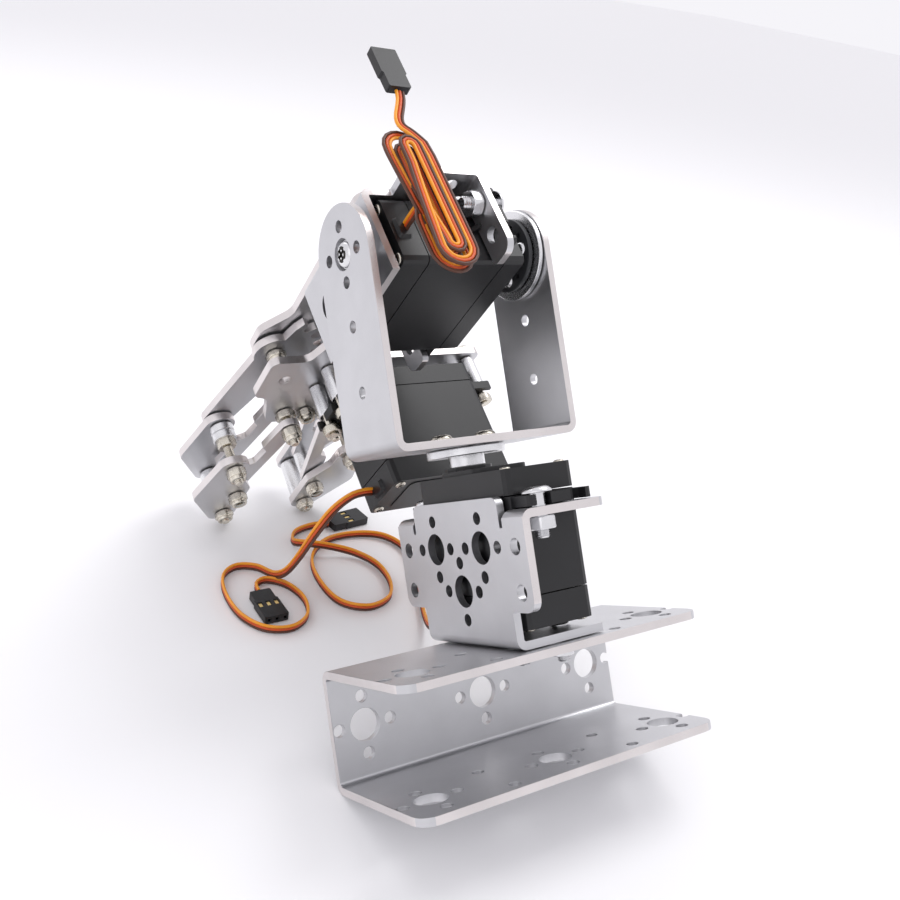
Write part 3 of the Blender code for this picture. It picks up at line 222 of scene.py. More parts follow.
def shade(mesh, degrees):
    for face in mesh.polygons:
        face.use_smooth = True
    mesh.set_sharp_from_angle(angle=math.radians(degrees))


def lathe(cage, profile, steps=24, material=0, matrix=None, cyclic=False, phase=0.0):
    """Turned shape round z through (radius, height) points."""
    rings = []
    for radius, height in profile:
        if radius < 1e-6:
            rings.append([cage.verts.new((0, 0, height))])
        else:
            rings.append([cage.verts.new((radius * math.cos(phase + 2 * math.pi * i / steps),
                                          radius * math.sin(phase + 2 * math.pi * i / steps), height))
                          for i in range(steps)])
    pairs = list(zip(rings, rings[1:])) + ([(rings[-1], rings[0])] if cyclic else [])
    for low, high in pairs:
        for i in range(steps):
            j = (i + 1) % steps
            corners = [low[i % len(low)], low[j % len(low)], high[j % len(high)], high[i % len(high)]]
            unique = list(dict.fromkeys(corners))
            if len(unique) > 2:
                face = cage.faces.new(unique)
                face.material_index = material
    if matrix:
        bmesh.ops.transform(cage, matrix=matrix, verts=[v for ring in rings for v in ring])
    return rings


def rounded(corners, steps=6):
    outline = []
    for i, (x, y, radius) in enumerate(corners):
        here = Vector((x, y))
        to_last = (Vector(corners[i - 1][:2]) - here).normalized()
        to_next = (Vector(corners[(i + 1) % len(corners)][:2]) - here).normalized()
        if radius <= 0:
            outline.append((x, y))
            continue
        half = to_last.angle(to_next) / 2
        centre = here + (to_last + to_next).normalized() * (radius / math.sin(half))
        start = here + to_last * (radius / math.tan(half)) - centre
        end = here + to_next * (radius / math.tan(half)) - centre
        sweep = math.atan2(start.x * end.y - start.y * end.x, start.dot(end))
        for k in range(steps + 1):
            outline.append(tuple(centre + Matrix.Rotation(sweep * k / steps, 2) @ start))
    return outline


def ring(x, y, radius, count=32):
    return [(x + radius * math.cos(2 * math.pi * i / count), y + radius * math.sin(2 * math.pi * i / count))
            for i in range(count)]


def plate(loops, thickness, edge=0.18):
    """Flat sheet centred on z = 0 with softened outer edges and hole rims, as a bmesh."""
    curve = bpy.data.curves.new("outline", "CURVE")
    curve.dimensions = "2D"
    curve.fill_mode = "BOTH"
    curve.extrude = thickness / 2 - edge
    curve.bevel_depth = edge
    curve.bevel_resolution = 1
    curve.offset = -edge
    for loop in loops:
        spline = curve.splines.new("POLY")
        spline.points.add(len(loop) - 1)
        spline.use_cyclic_u = True
        for point, (x, y) in zip(spline.points, loop):
            point.co = (x, y, 0, 1)
    drawn = bpy.data.objects.new("outline", curve)
    bpy.context.scene.collection.objects.link(drawn)
    mesh = bpy.data.meshes.new_from_object(drawn.evaluated_get(bpy.context.evaluated_depsgraph_get()))
    bpy.data.objects.remove(drawn)
    cage = bmesh.new()
    cage.from_mesh(mesh)
    bpy.data.meshes.remove(mesh)
    bmesh.ops.remove_doubles(cage, verts=cage.verts, dist=0.0005)
    bmesh.ops.recalc_face_normals(cage, faces=cage.faces)
    for face in cage.faces:
        face.material_index = 0 if abs(face.normal.z) > 0.9 else 1
    return cage


def solid(loop, low, high, plane):
    """Prism over an outline; plane gives the axis that it is extruded along."""
    cage = bmesh.new()
    order = {"x": lambda a, b, c: (c, a, b), "y": lambda a, b, c: (a, c, b),
             "z": lambda a, b, c: (a, b, c)}[plane]
    bottom = [cage.verts.new(order(a, b, low)) for a, b in loop]
    top = [cage.verts.new(order(a, b, high)) for a, b in loop]
    cage.faces.new(bottom)
    cage.faces.new(top)
    for i in range(len(loop)):
        j = (i + 1) % len(loop)
        cage.faces.new((bottom[i], bottom[j], top[j], top[i]))
    bmesh.ops.recalc_face_normals(cage, faces=cage.faces)
    return cage


def carve(cage, steps, edge=0.2):
    """Apply Boolean steps (bmesh, operation) to a bmesh and soften the sharp edges after."""
    def as_object(shape, name):
        mesh = bpy.data.meshes.new(name)
        shape.to_mesh(mesh)
        made = bpy.data.objects.new(name, mesh)
        bpy.context.scene.collection.objects.link(made)
        return made
    target = as_object(cage, "target")
    tools = []
    for i, (shape, operation) in enumerate(steps):
        tool = as_object(shape, "tool")
        tools.append(tool)
        step = target.modifiers.new(f"step_{i}", "BOOLEAN")
        step.object = tool
        step.operation = operation
        step.solver = "EXACT"
    if edge:
        tidy = target.modifiers.new("weld", "WELD")
        tidy.merge_threshold = 0.01
        soften = target.modifiers.new("edges", "BEVEL")
        soften.width = edge
        soften.segments = 2
        soften.limit_method = "ANGLE"
        soften.angle_limit = math.radians(50)
        soften.use_clamp_overlap = True
    mesh = bpy.data.meshes.new_from_object(target.evaluated_get(bpy.context.evaluated_depsgraph_get()))
    result = bmesh.new()
    result.from_mesh(mesh)
    for item in [target] + tools:
        bpy.data.objects.remove(item)
    for shape, _ in steps:
        shape.free()
    cage.free()
    return result


def drills(spots, reach, axis="z"):
    """One bmesh with a round cutter for each (x, y, z, radius)."""
    cage = bmesh.new()
    turn = {"z": Matrix.Identity(4), "x": Matrix.Rotation(math.pi / 2, 4, "Y"),
            "y": Matrix.Rotation(math.pi / 2, 4, "X")}[axis]
    for x, y, z, radius in spots:
        steps = 32 if radius > 3 else 16
        lathe(cage, [(0, -reach), (radius, -reach), (radius, reach), (0, reach)], steps,
              matrix=Matrix.Translation((x, y, z)) @ turn)
    bmesh.ops.recalc_face_normals(cage, faces=cage.faces)
    return cage


# ------------------------------------------------------------------ fasteners


def head(radius, height):
    """Round pan head with a cross recess, underside at z = 0."""
    cage = bmesh.new()
    dome = [(0, height), (radius * 0.35, height * 0.985), (radius * 0.62, height * 0.9),
            (radius * 0.84, height * 0.7), (radius * 0.96, height * 0.42), (radius, height * 0.2),
            (radius, height * 0.06), (radius * 0.96, 0), (0, 0)]
    lathe(cage, dome, 28)
    bmesh.ops.recalc_face_normals(cage, faces=cage.faces)
    wide, thin, deep = radius * 0.5, radius * 0.13, height * 0.45
    loop = []
    for quarter in range(4):
        turn = Matrix.Rotation(quarter * math.pi / 2, 2)
        loop += [tuple(turn @ Vector(p)) for p in ((wide, -thin), (wide, thin), (thin, thin))]
    cross = solid(loop, height - deep, height + 1, "z")
    made = carve(cage, [(cross, "DIFFERENCE")], edge=0)
    for face in made.faces:
        middle = face.calc_center_median()
        inside = max(abs(middle.x), abs(middle.y)) < wide * 1.02 and middle.z < height * 0.97
        # faces inside the cross recess take slot 1, the painted recess shade
        face.material_index = 1 if inside and middle.z > height * 0.3 else 0
    mesh = bpy.data.meshes.new("head")
    made.to_mesh(mesh)
    made.free()
    return mesh


HEADS = {}


def fastener(name, body, matrix, parts, replaced=(), finish=None, turn=0.4):
    """Screws, nuts and spacers on one axis; each part is a kind with its sizes, upright along z."""
    cage = bmesh.new()
    for kind, *size in parts:
        if kind == "head":
            z, radius, height = size
            if (radius, height) not in HEADS:
                HEADS[(radius, height)] = head(radius, height)
            before = set(cage.verts)
            cage.from_mesh(HEADS[(radius, height)])
            fresh = [v for v in cage.verts if v not in before]
            bmesh.ops.transform(cage, matrix=Matrix.Translation((0, 0, z)) @ Matrix.Rotation(turn, 4, "Z"),
                                verts=fresh)
        elif kind == "rod":
            low, high, radius = size
            lathe(cage, [(0, high), (radius, high), (radius, low), (0, low)], 20)
        elif kind == "thread":
            low, high, radius = size
            count = max(2, int((high - low) / 0.5))
            profile = [(0, high), (radius * 0.8, high)]
            for i in range(count):
                top = high - (high - low) * i / count
                profile += [(radius, top - 0.25 * (high - low) / count),
                            (radius * 0.84, top - 0.75 * (high - low) / count)]
            lathe(cage, profile + [(radius * 0.8, low), (0, low)], 18)
        elif kind in ("nut", "locknut"):
            top, radius, height = size
            body_height = height * (0.68 if kind == "locknut" else 1.0)
            hexagon(cage, top, top - body_height, radius)
            if kind == "locknut":
                low = top - height
                collar = radius * 0.82
                lathe(cage, [(radius * 0.5, low + 0.25), (collar * 0.92, low), (collar, low + 0.3),
                             (collar, top - body_height + 0.05)], 24, 0)
                lathe(cage, [(radius * 0.42, low + 0.45), (radius * 0.52, low + 0.2),
                             (radius * 0.52, low + 0.05)], 24, 2)
        elif kind == "spacer":
            low, high, radius = size
            lathe(cage, [(0, high), (radius - 0.25, high), (radius, high - 0.25), (radius, low + 0.25),
                         (radius - 0.25, low), (0, low)], 28, 3)
    # slot 1 is the painted shade for the cross recesses
    return put(name, cage, matrix, body, [finish or NICKEL, RECESS_SHADE, NYLON, TURNED], 38, replaced)


def hexagon(cage, top, low, radius):
    """Chamfered hexagon nut round a screw, across-corners radius."""
    chamfer = radius * 0.09
    flat = radius * 0.88
    rings = []
    for height, reach in ((top, flat), (top - chamfer, radius), (low + chamfer, radius), (low, flat)):
        steps = 24
        points = []
        for i in range(steps):
            angle = 2 * math.pi * i / steps
            sector = (angle % (math.pi / 3)) - math.pi / 6
            hexed = radius * math.cos(math.pi / 6) / math.cos(sector)
            points.append(cage.verts.new((min(hexed, reach) * math.cos(angle),
                                          min(hexed, reach) * math.sin(angle), height)))
        rings.append(points)
    for a, b in zip(rings, rings[1:]):
        for i in range(24):
            cage.faces.new((a[i], a[(i + 1) % 24], b[(i + 1) % 24], b[i]))
    cage.faces.new(rings[0])
    cage.faces.new(rings[-1])


def ear_bolts(name, body, seat, side):
    """Screws through the servo's ears with nuts under the bracket's flanges."""
    for i, way in enumerate((-1, 1)):
        spot = at(seat, -4.9, side * 10.2 + way * 24.75)
        parts = [("head", 3.1, 3.6, 1.6), ("rod", -2.3, 3.2, 1.85), ("nut", -2.3, 3.7, 3.0),
                 ("thread", -7.3, -5.2, 1.85)]
        fastener(f"{name}_ear_screw_{i + 1}", body, spot, parts, (f"{name}_ear_bolt_{i + 1}",),
                 ZINC, 0.3 + i)


def small_fasteners(seat):
    for i, (x, y) in enumerate(((5.8, -21.5), (-1.2, -14.5))):
        parts = [("head", -29.9, 2.8, 1.25), ("rod", -34.8, -29.8, 1.85), ("nut", -34.8, 2.9, 2.4),
                 ("thread", -38.7, -37.2, 1.6)]
        fastener(f"foot_screw_{i + 1}", "base", at(seat, x, y), parts, (f"base_bolt_{i + 1}",),
                 ZINC, 0.7 * i)
    for i, angle in enumerate((0.0, math.pi)):
        spot = at(PAN, 7 * math.cos(angle), 7 * math.sin(angle), 81.6)
        parts = [("head", 0, 2.8, 1.5), ("thread", -4.3, 0.1, 1.35)]
        fastener(f"horn_screw_{i + 1}", "pan", spot, parts, (), NICKEL, 0.9 * i)
    spot = at(PAN, 0, 0, 81.6)
    fastener("horn_centre_screw", "pan", spot, [("head", -2.0, 2.9, 1.7)], (), NICKEL, 0.2)


def claw_fasteners():
    def spot(y, z):
        return at(TILT, 0, y, z, CLAW_UP)
    top = 16.0
    fastener("claw_plate_screw", "tilt", spot(34.95, -9.6),
             [("head", top, 2.8, 1.9), ("rod", 10.6, top + 0.1, 1.45), ("nut", 10.6, 3.1, 2.2),
              ("thread", 7.2, 8.5, 1.45)], ("claw_plate_bolt",), NICKEL, 0.5)
    for i, y in enumerate((42.6, 76.0)):
        fastener(f"plate_post_{i + 1}", "tilt", spot(y, -9),
                 [("head", top, 2.8, 1.8), ("rod", 0.2, top, 1.45), ("spacer", 3.3, 12.9, 2.6),
                  ("locknut", 0.2, 3.0, 3.4)], (f"claw_post_{i + 1}",), NICKEL, 0.8 + i)
    count = 0
    for z in (-10.1, 39.4):
        for y in (52.5, 62.5):
            count += 1
            fastener(f"servo_standoff_{count}", "tilt", spot(y, z),
                     [("head", 3.3, 2.8, 1.8), ("rod", -13.6, 3.3, 1.45), ("spacer", -9.9, 0.2, 2.6),
                      ("nut", -13.6, 3.0, 2.4), ("thread", -16.6, -16.0, 1.45)],
                     (f"claw_servo_standoff_{count}",), NICKEL, 0.3 * count)
    fastener("driven_gear_screw", "tilt", spot(57.5, -22.5),
             [("head", top, 2.8, 1.9), ("rod", 9.8, top, 1.45), ("locknut", 9.8, 3.1, 2.4),
              ("thread", 6.4, 7.6, 1.45)], ("driven_gear_pivot",), NICKEL, 1.2)
    for i, way in enumerate((-1, 1)):
        fastener(f"link_screw_{i + 1}", "tilt", spot(76, -9 + 7 * way),
                 [("head", 6.3, 2.8, 1.7), ("thread", -11.1, 6.3, 1.45), ("nut", 0.2, 3.1, 2.4),
                  ("locknut", -5.9, 3.1, 4.0)], (f"link_pivot_{i + 1}",), NICKEL, 0.4 + i)
    for tag, way in (("right", 1), ("left", -1)):
        body = f"{tag}_finger"
        fastener(f"{tag}_pivot_stack", body, spot(93, -9 + 20.5 * way),
                 [("head", 12.9, 2.8, 1.6), ("rod", 6.9, 12.9, 1.45), ("spacer", 4.45, 6.9, 3.7),
                  ("spacer", 1.9, 4.35, 3.7), ("nut", 1.9, 3.1, 2.5), ("thread", -13.8, -0.6, 1.45),
                  ("locknut", -8.8, 3.1, 3.8)], (f"finger_{tag}_pivot_screw",), NICKEL, 0.6 + way)
        fastener(f"{tag}_tip_stack", body, spot(123.5, -9 + 15 * way),
                 [("head", 10.0, 2.8, 1.6), ("rod", 6.9, 10.0, 1.45), ("spacer", -5.7, 6.9, 3.7),
                  ("rod", -9, -5.7, 1.45), ("locknut", -8.8, 3.1, 2.8), ("thread", -12.4, -11.4, 1.45)],
                 (f"finger_{tag}_tip_spacer",), NICKEL, 0.1 - way)
        fastener(f"{tag}_link_stack", body, spot(111.5, -9 + 14 * way),
                 [("head", 10.0, 2.8, 1.6), ("rod", -8.9, 10.0, 1.45), ("locknut", -8.8, 3.1, 3.4)],
                 (f"finger_{tag}_link_screw",), NICKEL, 0.2 + way)


# ------------------------------------------------------------------ bent sheet parts


def hole_ring(x, y, z, plane, large=4.0, small=1.55, reach=7.0):
    spots = [(x, y, z, large)]
    for a, b in ((reach, 0), (-reach, 0), (0, reach), (0, -reach)):
        move = {"z": (a, b, 0), "y": (a, 0, b), "x": (0, a, b)}[plane]
        spots.append((x + move[0], y + move[1], z + move[2], small))
    return spots


def paint_edges(cage, thin):
    """Cut edges get the brighter finish: small faces whose normal lies in one of the thin directions."""
    for face in cage.faces:
        face.material_index = 1 if thin(face) else 0


def base_beam():
    """Channel beam: stand frame with its own corner at x 0, rear web at y 0 and underside at z 0."""
    home = at(STAND, -44.8, 9.0)
    outer = [(-42, 0, 0), (0, 0, 3), (0, 30, 3), (-42, 30, 0)]
    inner = [(-42, 28, 0), (-2, 28, 1), (-2, 2, 1), (-42, 2, 0)]
    cage = solid(rounded(outer + inner), 0, 86.5, "x")
    flange, web = [], []
    for x in (8.8, 43.6, 78.4):
        for z in (1, 29):
            flange += hole_ring(x, -30.5, z, "z")
        web += hole_ring(x, -1, 15, "y")
    extra = [(x, -38.5, z, 1.45) for x in (26.2, 61.0) for z in (1, 29)]
    extra += [(x, -23.0, z, 1.45) for x in (26.2, 61.0) for z in (1, 29)]
    corners = bmesh.new()
    for x, way in ((0, 1), (86.5, -1)):
        radius = 4.5
        loop = [(x - way, -43), (x + way * radius, -43)]
        loop += [(x + way * radius * (1 - math.sin(k * math.pi / 12)),
                  -42 + radius * (1 - math.cos(k * math.pi / 12))) for k in range(7)]
        loop += [(x - way, -42 + radius)]
        piece = solid(loop, -1, 31, "z")
        mesh = bpy.data.meshes.new("corner")
        piece.to_mesh(mesh)
        corners.from_mesh(mesh)
        piece.free()
    steps = [(corners, "DIFFERENCE"), (drills(flange + extra, 3), "DIFFERENCE"),
             (drills(web, 3, "y"), "DIFFERENCE")]
    cage = carve(cage, steps, 0.16)
    paint_edges(cage, lambda f: abs(f.normal.x) > 0.5 and 0.2 > f.calc_center_median().x
                or f.calc_center_median().x > 86.3 or f.calc_center_median().y < -41.7)
    put("channel_beam", cage, home, "base", [SHEET, EDGE], 32, ("base_beam",))


def servo_bracket(name, body, seat, side, node):
    """Bent bracket: faced plate with hole groups, foot at the bottom and two ear flanges at the top."""
    mid = -10.2
    seat = seat @ Matrix.Translation((0, (side * 10.2 - mid) * MM, 0))
    foot, tip, back, face = -32.2, 12.1, -12.9, -10.9
    profile = [(tip, foot, 0), (tip, foot + 2, 0), (face, foot + 2, 0.6), (face, 3.4, 0), (back, 3.4, 0),
               (back, foot, 2.6)]
    cage = solid(rounded(profile, 5), mid - 29, mid + 29, "y")
    trims = bmesh.new()

    def trim(low, high, corners):
        lower = solid([(a, b) for a, b in corners], low, high, "x")
        mesh = bpy.data.meshes.new("trim")
        lower.to_mesh(mesh)
        trims.from_mesh(mesh)
        lower.free()
    for way in (-1, 1):
        at_y = lambda v: mid + way * v
        trim(-14, 14, rounded([(at_y(20), -36, 0), (at_y(31), -36, 0), (at_y(31), -20, 0),
                               (at_y(29), -20, 0), (at_y(29), -23.1, 3), (at_y(20), -23.1, 0.6)], 5))
        trim(-14, 14, rounded([(at_y(19.6), -4, 0.5), (at_y(20.8), -4, 0.5), (at_y(20.8), -1.5, 0),
                               (at_y(31), -1.5, 0), (at_y(31), 6, 0), (at_y(17), 6, 0),
                               (at_y(17), 3.4, 0), (at_y(19.6), 3.4, 2)], 4))
    ears = bmesh.new()
    for way in (-1, 1):
        bend = rounded([(tip, 0, 0), (tip, -2, 0), (face + 0.02, -2, 0.6), (face + 0.02, -3.6, 0),
                        (back - 0.02, -3.6, 0), (back - 0.02, 0, 2.6)], 5)
        ends = sorted((mid + way * 20.8, mid + way * 29.02))
        piece = solid(bend, *ends, "y")
        mesh = bpy.data.meshes.new("ear")
        piece.to_mesh(mesh)
        ears.from_mesh(mesh)
        piece.free()
    round_off = bmesh.new()
    for way in (-1, 1):
        for y, radius, inward in ((29.02, 3.5, -1), (20.8, 1.5, 1)):
            centre_y = mid + way * (y + inward * radius)
            edge = mid + way * (y - inward * 0.5)
            loop = [(tip + 1, edge), (tip - radius, edge)]
            loop += [(tip - radius + radius * math.sin(k * math.pi / 12),
                      centre_y - way * inward * radius * math.cos(k * math.pi / 12)) for k in range(7)]
            loop += [(tip + 1, centre_y)]
            piece = solid(loop, -3, 1, "z")
            mesh = bpy.data.meshes.new("round")
            piece.to_mesh(mesh)
            round_off.from_mesh(mesh)
            piece.free()
    centre = -18.6
    faces = []
    for y, z in ((0, 0), (10.5, 10.5), (-10.5, 10.5)):
        for spot in hole_ring(-11.9, mid + y, centre + z, "x"):
            if all(math.dist(spot[1:3], kept[1:3]) > spot[3] + kept[3] + 0.4 for kept in faces):
                faces.append(spot)
    faces += [(-11.9, mid + way * 24.75, centre + dz, 2.0) for way in (-1, 1) for dz in (0, 10.5)]
    upright = [(0, 0, foot + 1, 4.3)]
    upright += [(x, mid + y, foot + 1, 1.95) for x, y in ((5.8, -11.3), (-1.2, -4.3))]
    upright += [(x, mid + way * 24.75, -1, 2.2) for way in (-1, 1) for x in (-4.9, 5.1)]
    steps = [(trims, "DIFFERENCE"), (ears, "UNION"), (round_off, "DIFFERENCE"),
             (drills(faces, 3, "x"), "DIFFERENCE"), (drills(upright, 3), "DIFFERENCE")]
    cage = carve(cage, steps, 0.16)
    paint_edges(cage, lambda f: f.calc_center_median().x > tip - 0.25
                or abs(f.normal.y) > 0.5 and abs(abs(f.calc_center_median().y - mid) - 29) < 0.25)
    put(name, cage, seat, body, [SHEET, EDGE], 32, (node,))


def yoke():
    half, low, tilt = 28.3, 79.3, YOKE_TILT
    profile = rounded([(-half, low, 3.2), (half, low, 3.2), (half, 142.5, 0), (half - 2, 142.5, 0),
                       (half - 2, low + 2, 1.2), (-half + 2, low + 2, 1.2), (-half + 2, 142.5, 0),
                       (-half, 142.5, 0)], 6)
    cage = solid(profile, -12.5, 12.5, "y")
    keep = [(-12.5, low - 5), (12.5, low - 5)]
    keep += [(12.5 * math.cos(math.pi * k / 40), tilt + 12.5 * math.sin(math.pi * k / 40))
             for k in range(41)]
    mask = solid(keep, -30, 30, "x")
    arms = []
    for way in (-1, 1):
        arms += hole_ring(way * 27.3, 0, tilt, "x")
        arms += [(way * 27.3, 0, low + h, 1.55) for h in (16.2, 32.6)]
    base = hole_ring(0, 0, low + 1, "z", 4.0, 1.75)
    steps = [(mask, "INTERSECT"), (drills(arms, 3, "x"), "DIFFERENCE"), (drills(base, 3), "DIFFERENCE")]
    cage = carve(cage, steps, 0.16)
    paint_edges(cage, lambda f: abs(f.normal.x) < 0.5 and math.hypot(
        f.calc_center_median().y, max(0, f.calc_center_median().z - tilt)) > 12.2)
    put("yoke", cage, PAN, "pan", [SHEET, EDGE], 32, ("u_bracket",))


def flat_part(name, body, node, loops, span, pivot=(0, 0)):
    """Sheet part of the claw, drawn in the claw's own plane; span is its two faces along x."""
    cage = plate(loops, span[1] - span[0])
    where = at(TILT, (span[0] + span[1]) / 2, pivot[0], pivot[1], TO_SIDE)
    return put(name, cage, where, body, [SHEET, EDGE], 32, (node,) if node else ())


def claw_plates():
    c = -9.0
    outline = [(-6, c - 12, 3), (-6, c + 12, 3), (43, c + 12, 5), (51, c + 19.5, 5), (63.5, c + 19.5, 5.8),
               (63.5, c + 7, 4), (80.6, c + 4.6, 4.4), (80.6, c - 4.6, 4.4), (63.5, c - 7, 4),
               (63.5, c - 19.5, 5.8), (51, c - 19.5, 5), (43, c - 12, 5)]
    holes = [ring(57.5, c + w * 13.5, 1.85, 20) for w in (-1, 1)] + [ring(34.95, -9.6, 1.85, 20)]
    holes += [ring(y, c, 1.85, 20) for y in (42.6, 76.0)] + [ring(54, c, 4)]
    flat_part("claw_upper_sheet", "tilt", "claw_top_plate", [rounded(outline)] + holes, (-15.7, -13.2))
    right = 14.7 + 24.75 + 4
    outline = [(38.7, c - 4.6, 3.5), (38.7, c + 4.6, 3.5), (48.5, c + 9, 3), (48.5, right, 2.5),
               (66.5, right, 2.5), (66.5, c + 16, 4), (81.5, c + 11.5, 4), (81.5, c - 11.5, 4),
               (66.5, c - 16, 4), (66.5, c - 20.5, 2.5), (48.5, c - 20.5, 2.5), (48.5, c - 9, 3)]
    holes = [ring(76, c + w * 7, 1.85, 20) for w in (-1, 1)] + [ring(y, c, 1.85, 20) for y in (42.6, 76.0)]
    holes += [ring(57.5, c + 13.5, 6.6, 40), ring(57.5, c - 13.5, 1.85, 20)]
    holes += [ring(y, z, 1.85, 20) for z in (-10.05, 39.45) for y in (52.5, 62.5)]
    flat_part("claw_servo_sheet", "tilt", "claw_servo_plate", [rounded(outline)] + holes, (-3.0, -0.5))


def fingers():
    for tag, way in (("right", 1), ("left", -1)):
        corners = [(88.4, 24.9, 4.2), (88.4, 15.9, 4.2), (99, 15.9, 4), (107.5, 10.5, 3), (128, 10.5, 4.3),
                   (128, 18.5, 4), (111, 29, 5)]
        outline = rounded([(y, -9 + z * way, r) for y, z, r in corners], 6)
        holes = [ring(y, -9 + z * way, 1.85, 20) for y, z in ((93, 20.5), (111.5, 14), (123.5, 15))]
        for level, span in (("upper", (-9.7, -7.2)), ("lower", (6.0, 8.5))):
            flat_part(f"{tag}_{level}_finger", f"{tag}_finger", f"finger_{tag}_{level}_plate",
                      [outline] + holes, span)
        gear = (57.5, -9 + 13.5 * way)
        end = (93.0, -9 + 20.5 * way)
        flat_part(f"{tag}_arm_with_gear", f"{tag}_arm", f"{tag}_gear_arm", arm_loops(gear, end, way),
                  (-12.6, -10.1))
        follower(tag, way)


def arm_loops(gear, end, way):
    """Arm outline with its toothed sector: module 1.5, 18 teeth on the full circle."""
    module, pitch = 1.5, 2 * math.pi / 18
    tip, root, hub = 13.5 + 0.85 * module, 13.5 - 1.15 * module, 6.5
    facing = -math.pi / 2 * way
    phase = 0.0 if way > 0 else 0.5
    points = []
    for k in range(-3, 4):
        middle = facing + (k + phase) * pitch
        for radius, part in ((root, -0.36), (root + 0.5, -0.28), (13.5, -0.215), (tip - 0.1, -0.14),
                             (tip, -0.11), (tip, 0.11), (tip - 0.1, 0.14), (13.5, 0.215), (root + 0.5, 0.28),
                             (root, 0.36)):
            points.append((gear[0] + radius * math.cos(middle + part * pitch),
                           gear[1] + radius * math.sin(middle + part * pitch)))
    first = facing + (-3 + phase) * pitch - 0.36 * pitch
    last = facing + (3 + phase) * pitch + 0.36 * pitch
    sweep = 2 * math.pi - (last - first)
    along = math.atan2(end[1] - gear[1], end[0] - gear[0])
    bar = []
    for k in range(13):
        angle = along - math.pi / 2 + math.pi * k / 12
        bar.append((end[0] + 4.8 * math.cos(angle), end[1] + 4.8 * math.sin(angle)))
    hub_points = []
    placed = False
    for k in range(25):
        angle = last + sweep * (k + 0.5) / 25
        off = math.atan2(math.sin(angle - along), math.cos(angle - along))
        if abs(off) < math.asin(4.8 / hub) + 0.02:
            if not placed:
                hub_points += bar
                placed = True
            continue
        hub_points.append((gear[0] + hub * math.cos(angle), gear[1] + hub * math.sin(angle)))
    outline = points + hub_points
    return [outline, ring(*gear, 1.85, 20), ring(*end, 1.85, 20)]


def follower(tag, way):
    start = Vector((76, -9 + 7 * way))
    end = Vector((111.5, -9 + 14 * way))
    along = (end - start).normalized()
    out = Vector((-along.y, along.x)) * way
    length = (end - start).length
    corners = [(-3.2, -3.2, 3.0), (length + 3.2, -3.2, 3.0), (length + 3.2, 3.2, 3.0), (22.5, 3.2, 1.5),
               (20.5, 0.8, 1.5), (13.5, 0.8, 1.5), (11.5, 3.2, 1.5), (-3.2, 3.2, 3.0)]
    outline = rounded([(*(start + along * a + out * b), r) for a, b, r in corners], 5)
    loops = [outline, ring(*start, 1.85, 20), ring(*end, 1.85, 20)]
    flat_part(f"{tag}_link_lower", f"{tag}_link", f"{tag}_follower", loops, (3.4, 5.6))
    flat_part(f"{tag}_link_upper", f"{tag}_link", None, loops, (-6.0, -3.8))
    cage = bmesh.new()
    lathe(cage, [(3.1, -3.4), (3.1, 3.8), (1.85, 3.8), (1.85, -3.4)], 28, cyclic=True)
    put(f"{tag}_link_sleeve", cage, at(TILT, 0, end.x, end.y, CLAW_UP), f"{tag}_link", [TURNED], 35)


# ------------------------------------------------------------------ leads and plugs

WIRE = 0.46               # radius of one wire of the three-wire ribbon, in millimetres
PAN_LEAD_ROUTE = [(1.6, -31.2, 29.7), (1.6, -28.0, 27.6), (2.4, -23.0, 22.5), (4.5, -16.5, 13.0),
                  (7.5, -9.0, 5.0), (11.0, 0.0, 1.6), (16.0, 12.0, 1.4), (21.5, 26.0, 1.4),
                  (23.5, 37.0, 1.4), (19.5, 45.5, 1.4), (10.0, 49.0, 1.4), (-0.6, 47.6, 1.4), (-8.6, 40.0, 1.4),
                  (-11.9, 29.0, 1.4), (-10.9, 15.6, 1.4), (-3.6, 9.6, 1.4), (5.0, 12.0, 1.4),
                  (9.5, 20.0, 1.4), (10.0, 30.0, 1.4), (5.5, 38.0, 1.8), (-2.5, 41.6, 3.6),
                  (-8.5, 44.0, 4.2), (-11.5, 49.0, 2.4), (-8.0, 55.5, 1.4), (-1.0, 57.8, 1.4),
                  (5.2, 57.2, 1.4)]
CLAW_LEAD_ROUTE = [(-7.0, 11.0, 42.1), (-10.0, 10.9, 42.3), (-14.0, 10.9, 41.5), (-18.5, 12.0, 37.0),
                   (-22.0, 14.5, 28.5), (-24.0, 19.0, 18.0), (-24.6, 25.5, 8.5), (-25.0, 33.0, 2.6),
                   (-28.0, 40.0, 1.4), (-34.0, 42.0, 1.4), (-39.5, 38.0, 1.4), (-42.0, 29.0, 1.4),
                   (-41.5, 18.0, 1.4), (-37.0, 10.0, 1.4), (-29.5, 7.5, 1.4), (-23.0, 11.5, 1.4),
                   (-20.5, 19.5, 1.4), (-22.5, 28.0, 1.4), (-27.5, 32.5, 1.4), (-31.5, 31.0, 1.4),
                   (-32.2, 27.0, 1.4)]
TILT_TAIL = [(0, -10.5, -15.3), (0, -12.6, -15.4), (0, -14.8, -15.3), (0, -17.2, -15.2), (1.0, -19.4, -15.8),
             (3.0, -20.4, -17.2), (6.0, -20.6, -18.5)]
TILT_END = [(-16.0, -23.3, -9.7), (-19.5, -22.9, -11.6), (-22.3, -22.2, -12.9), (-25.0, -22.1, -12.6),
            (-28.0, -22.3, -11.2), (-31.0, -22.5, -9.8), (-34.0, -22.6, -9.0)]


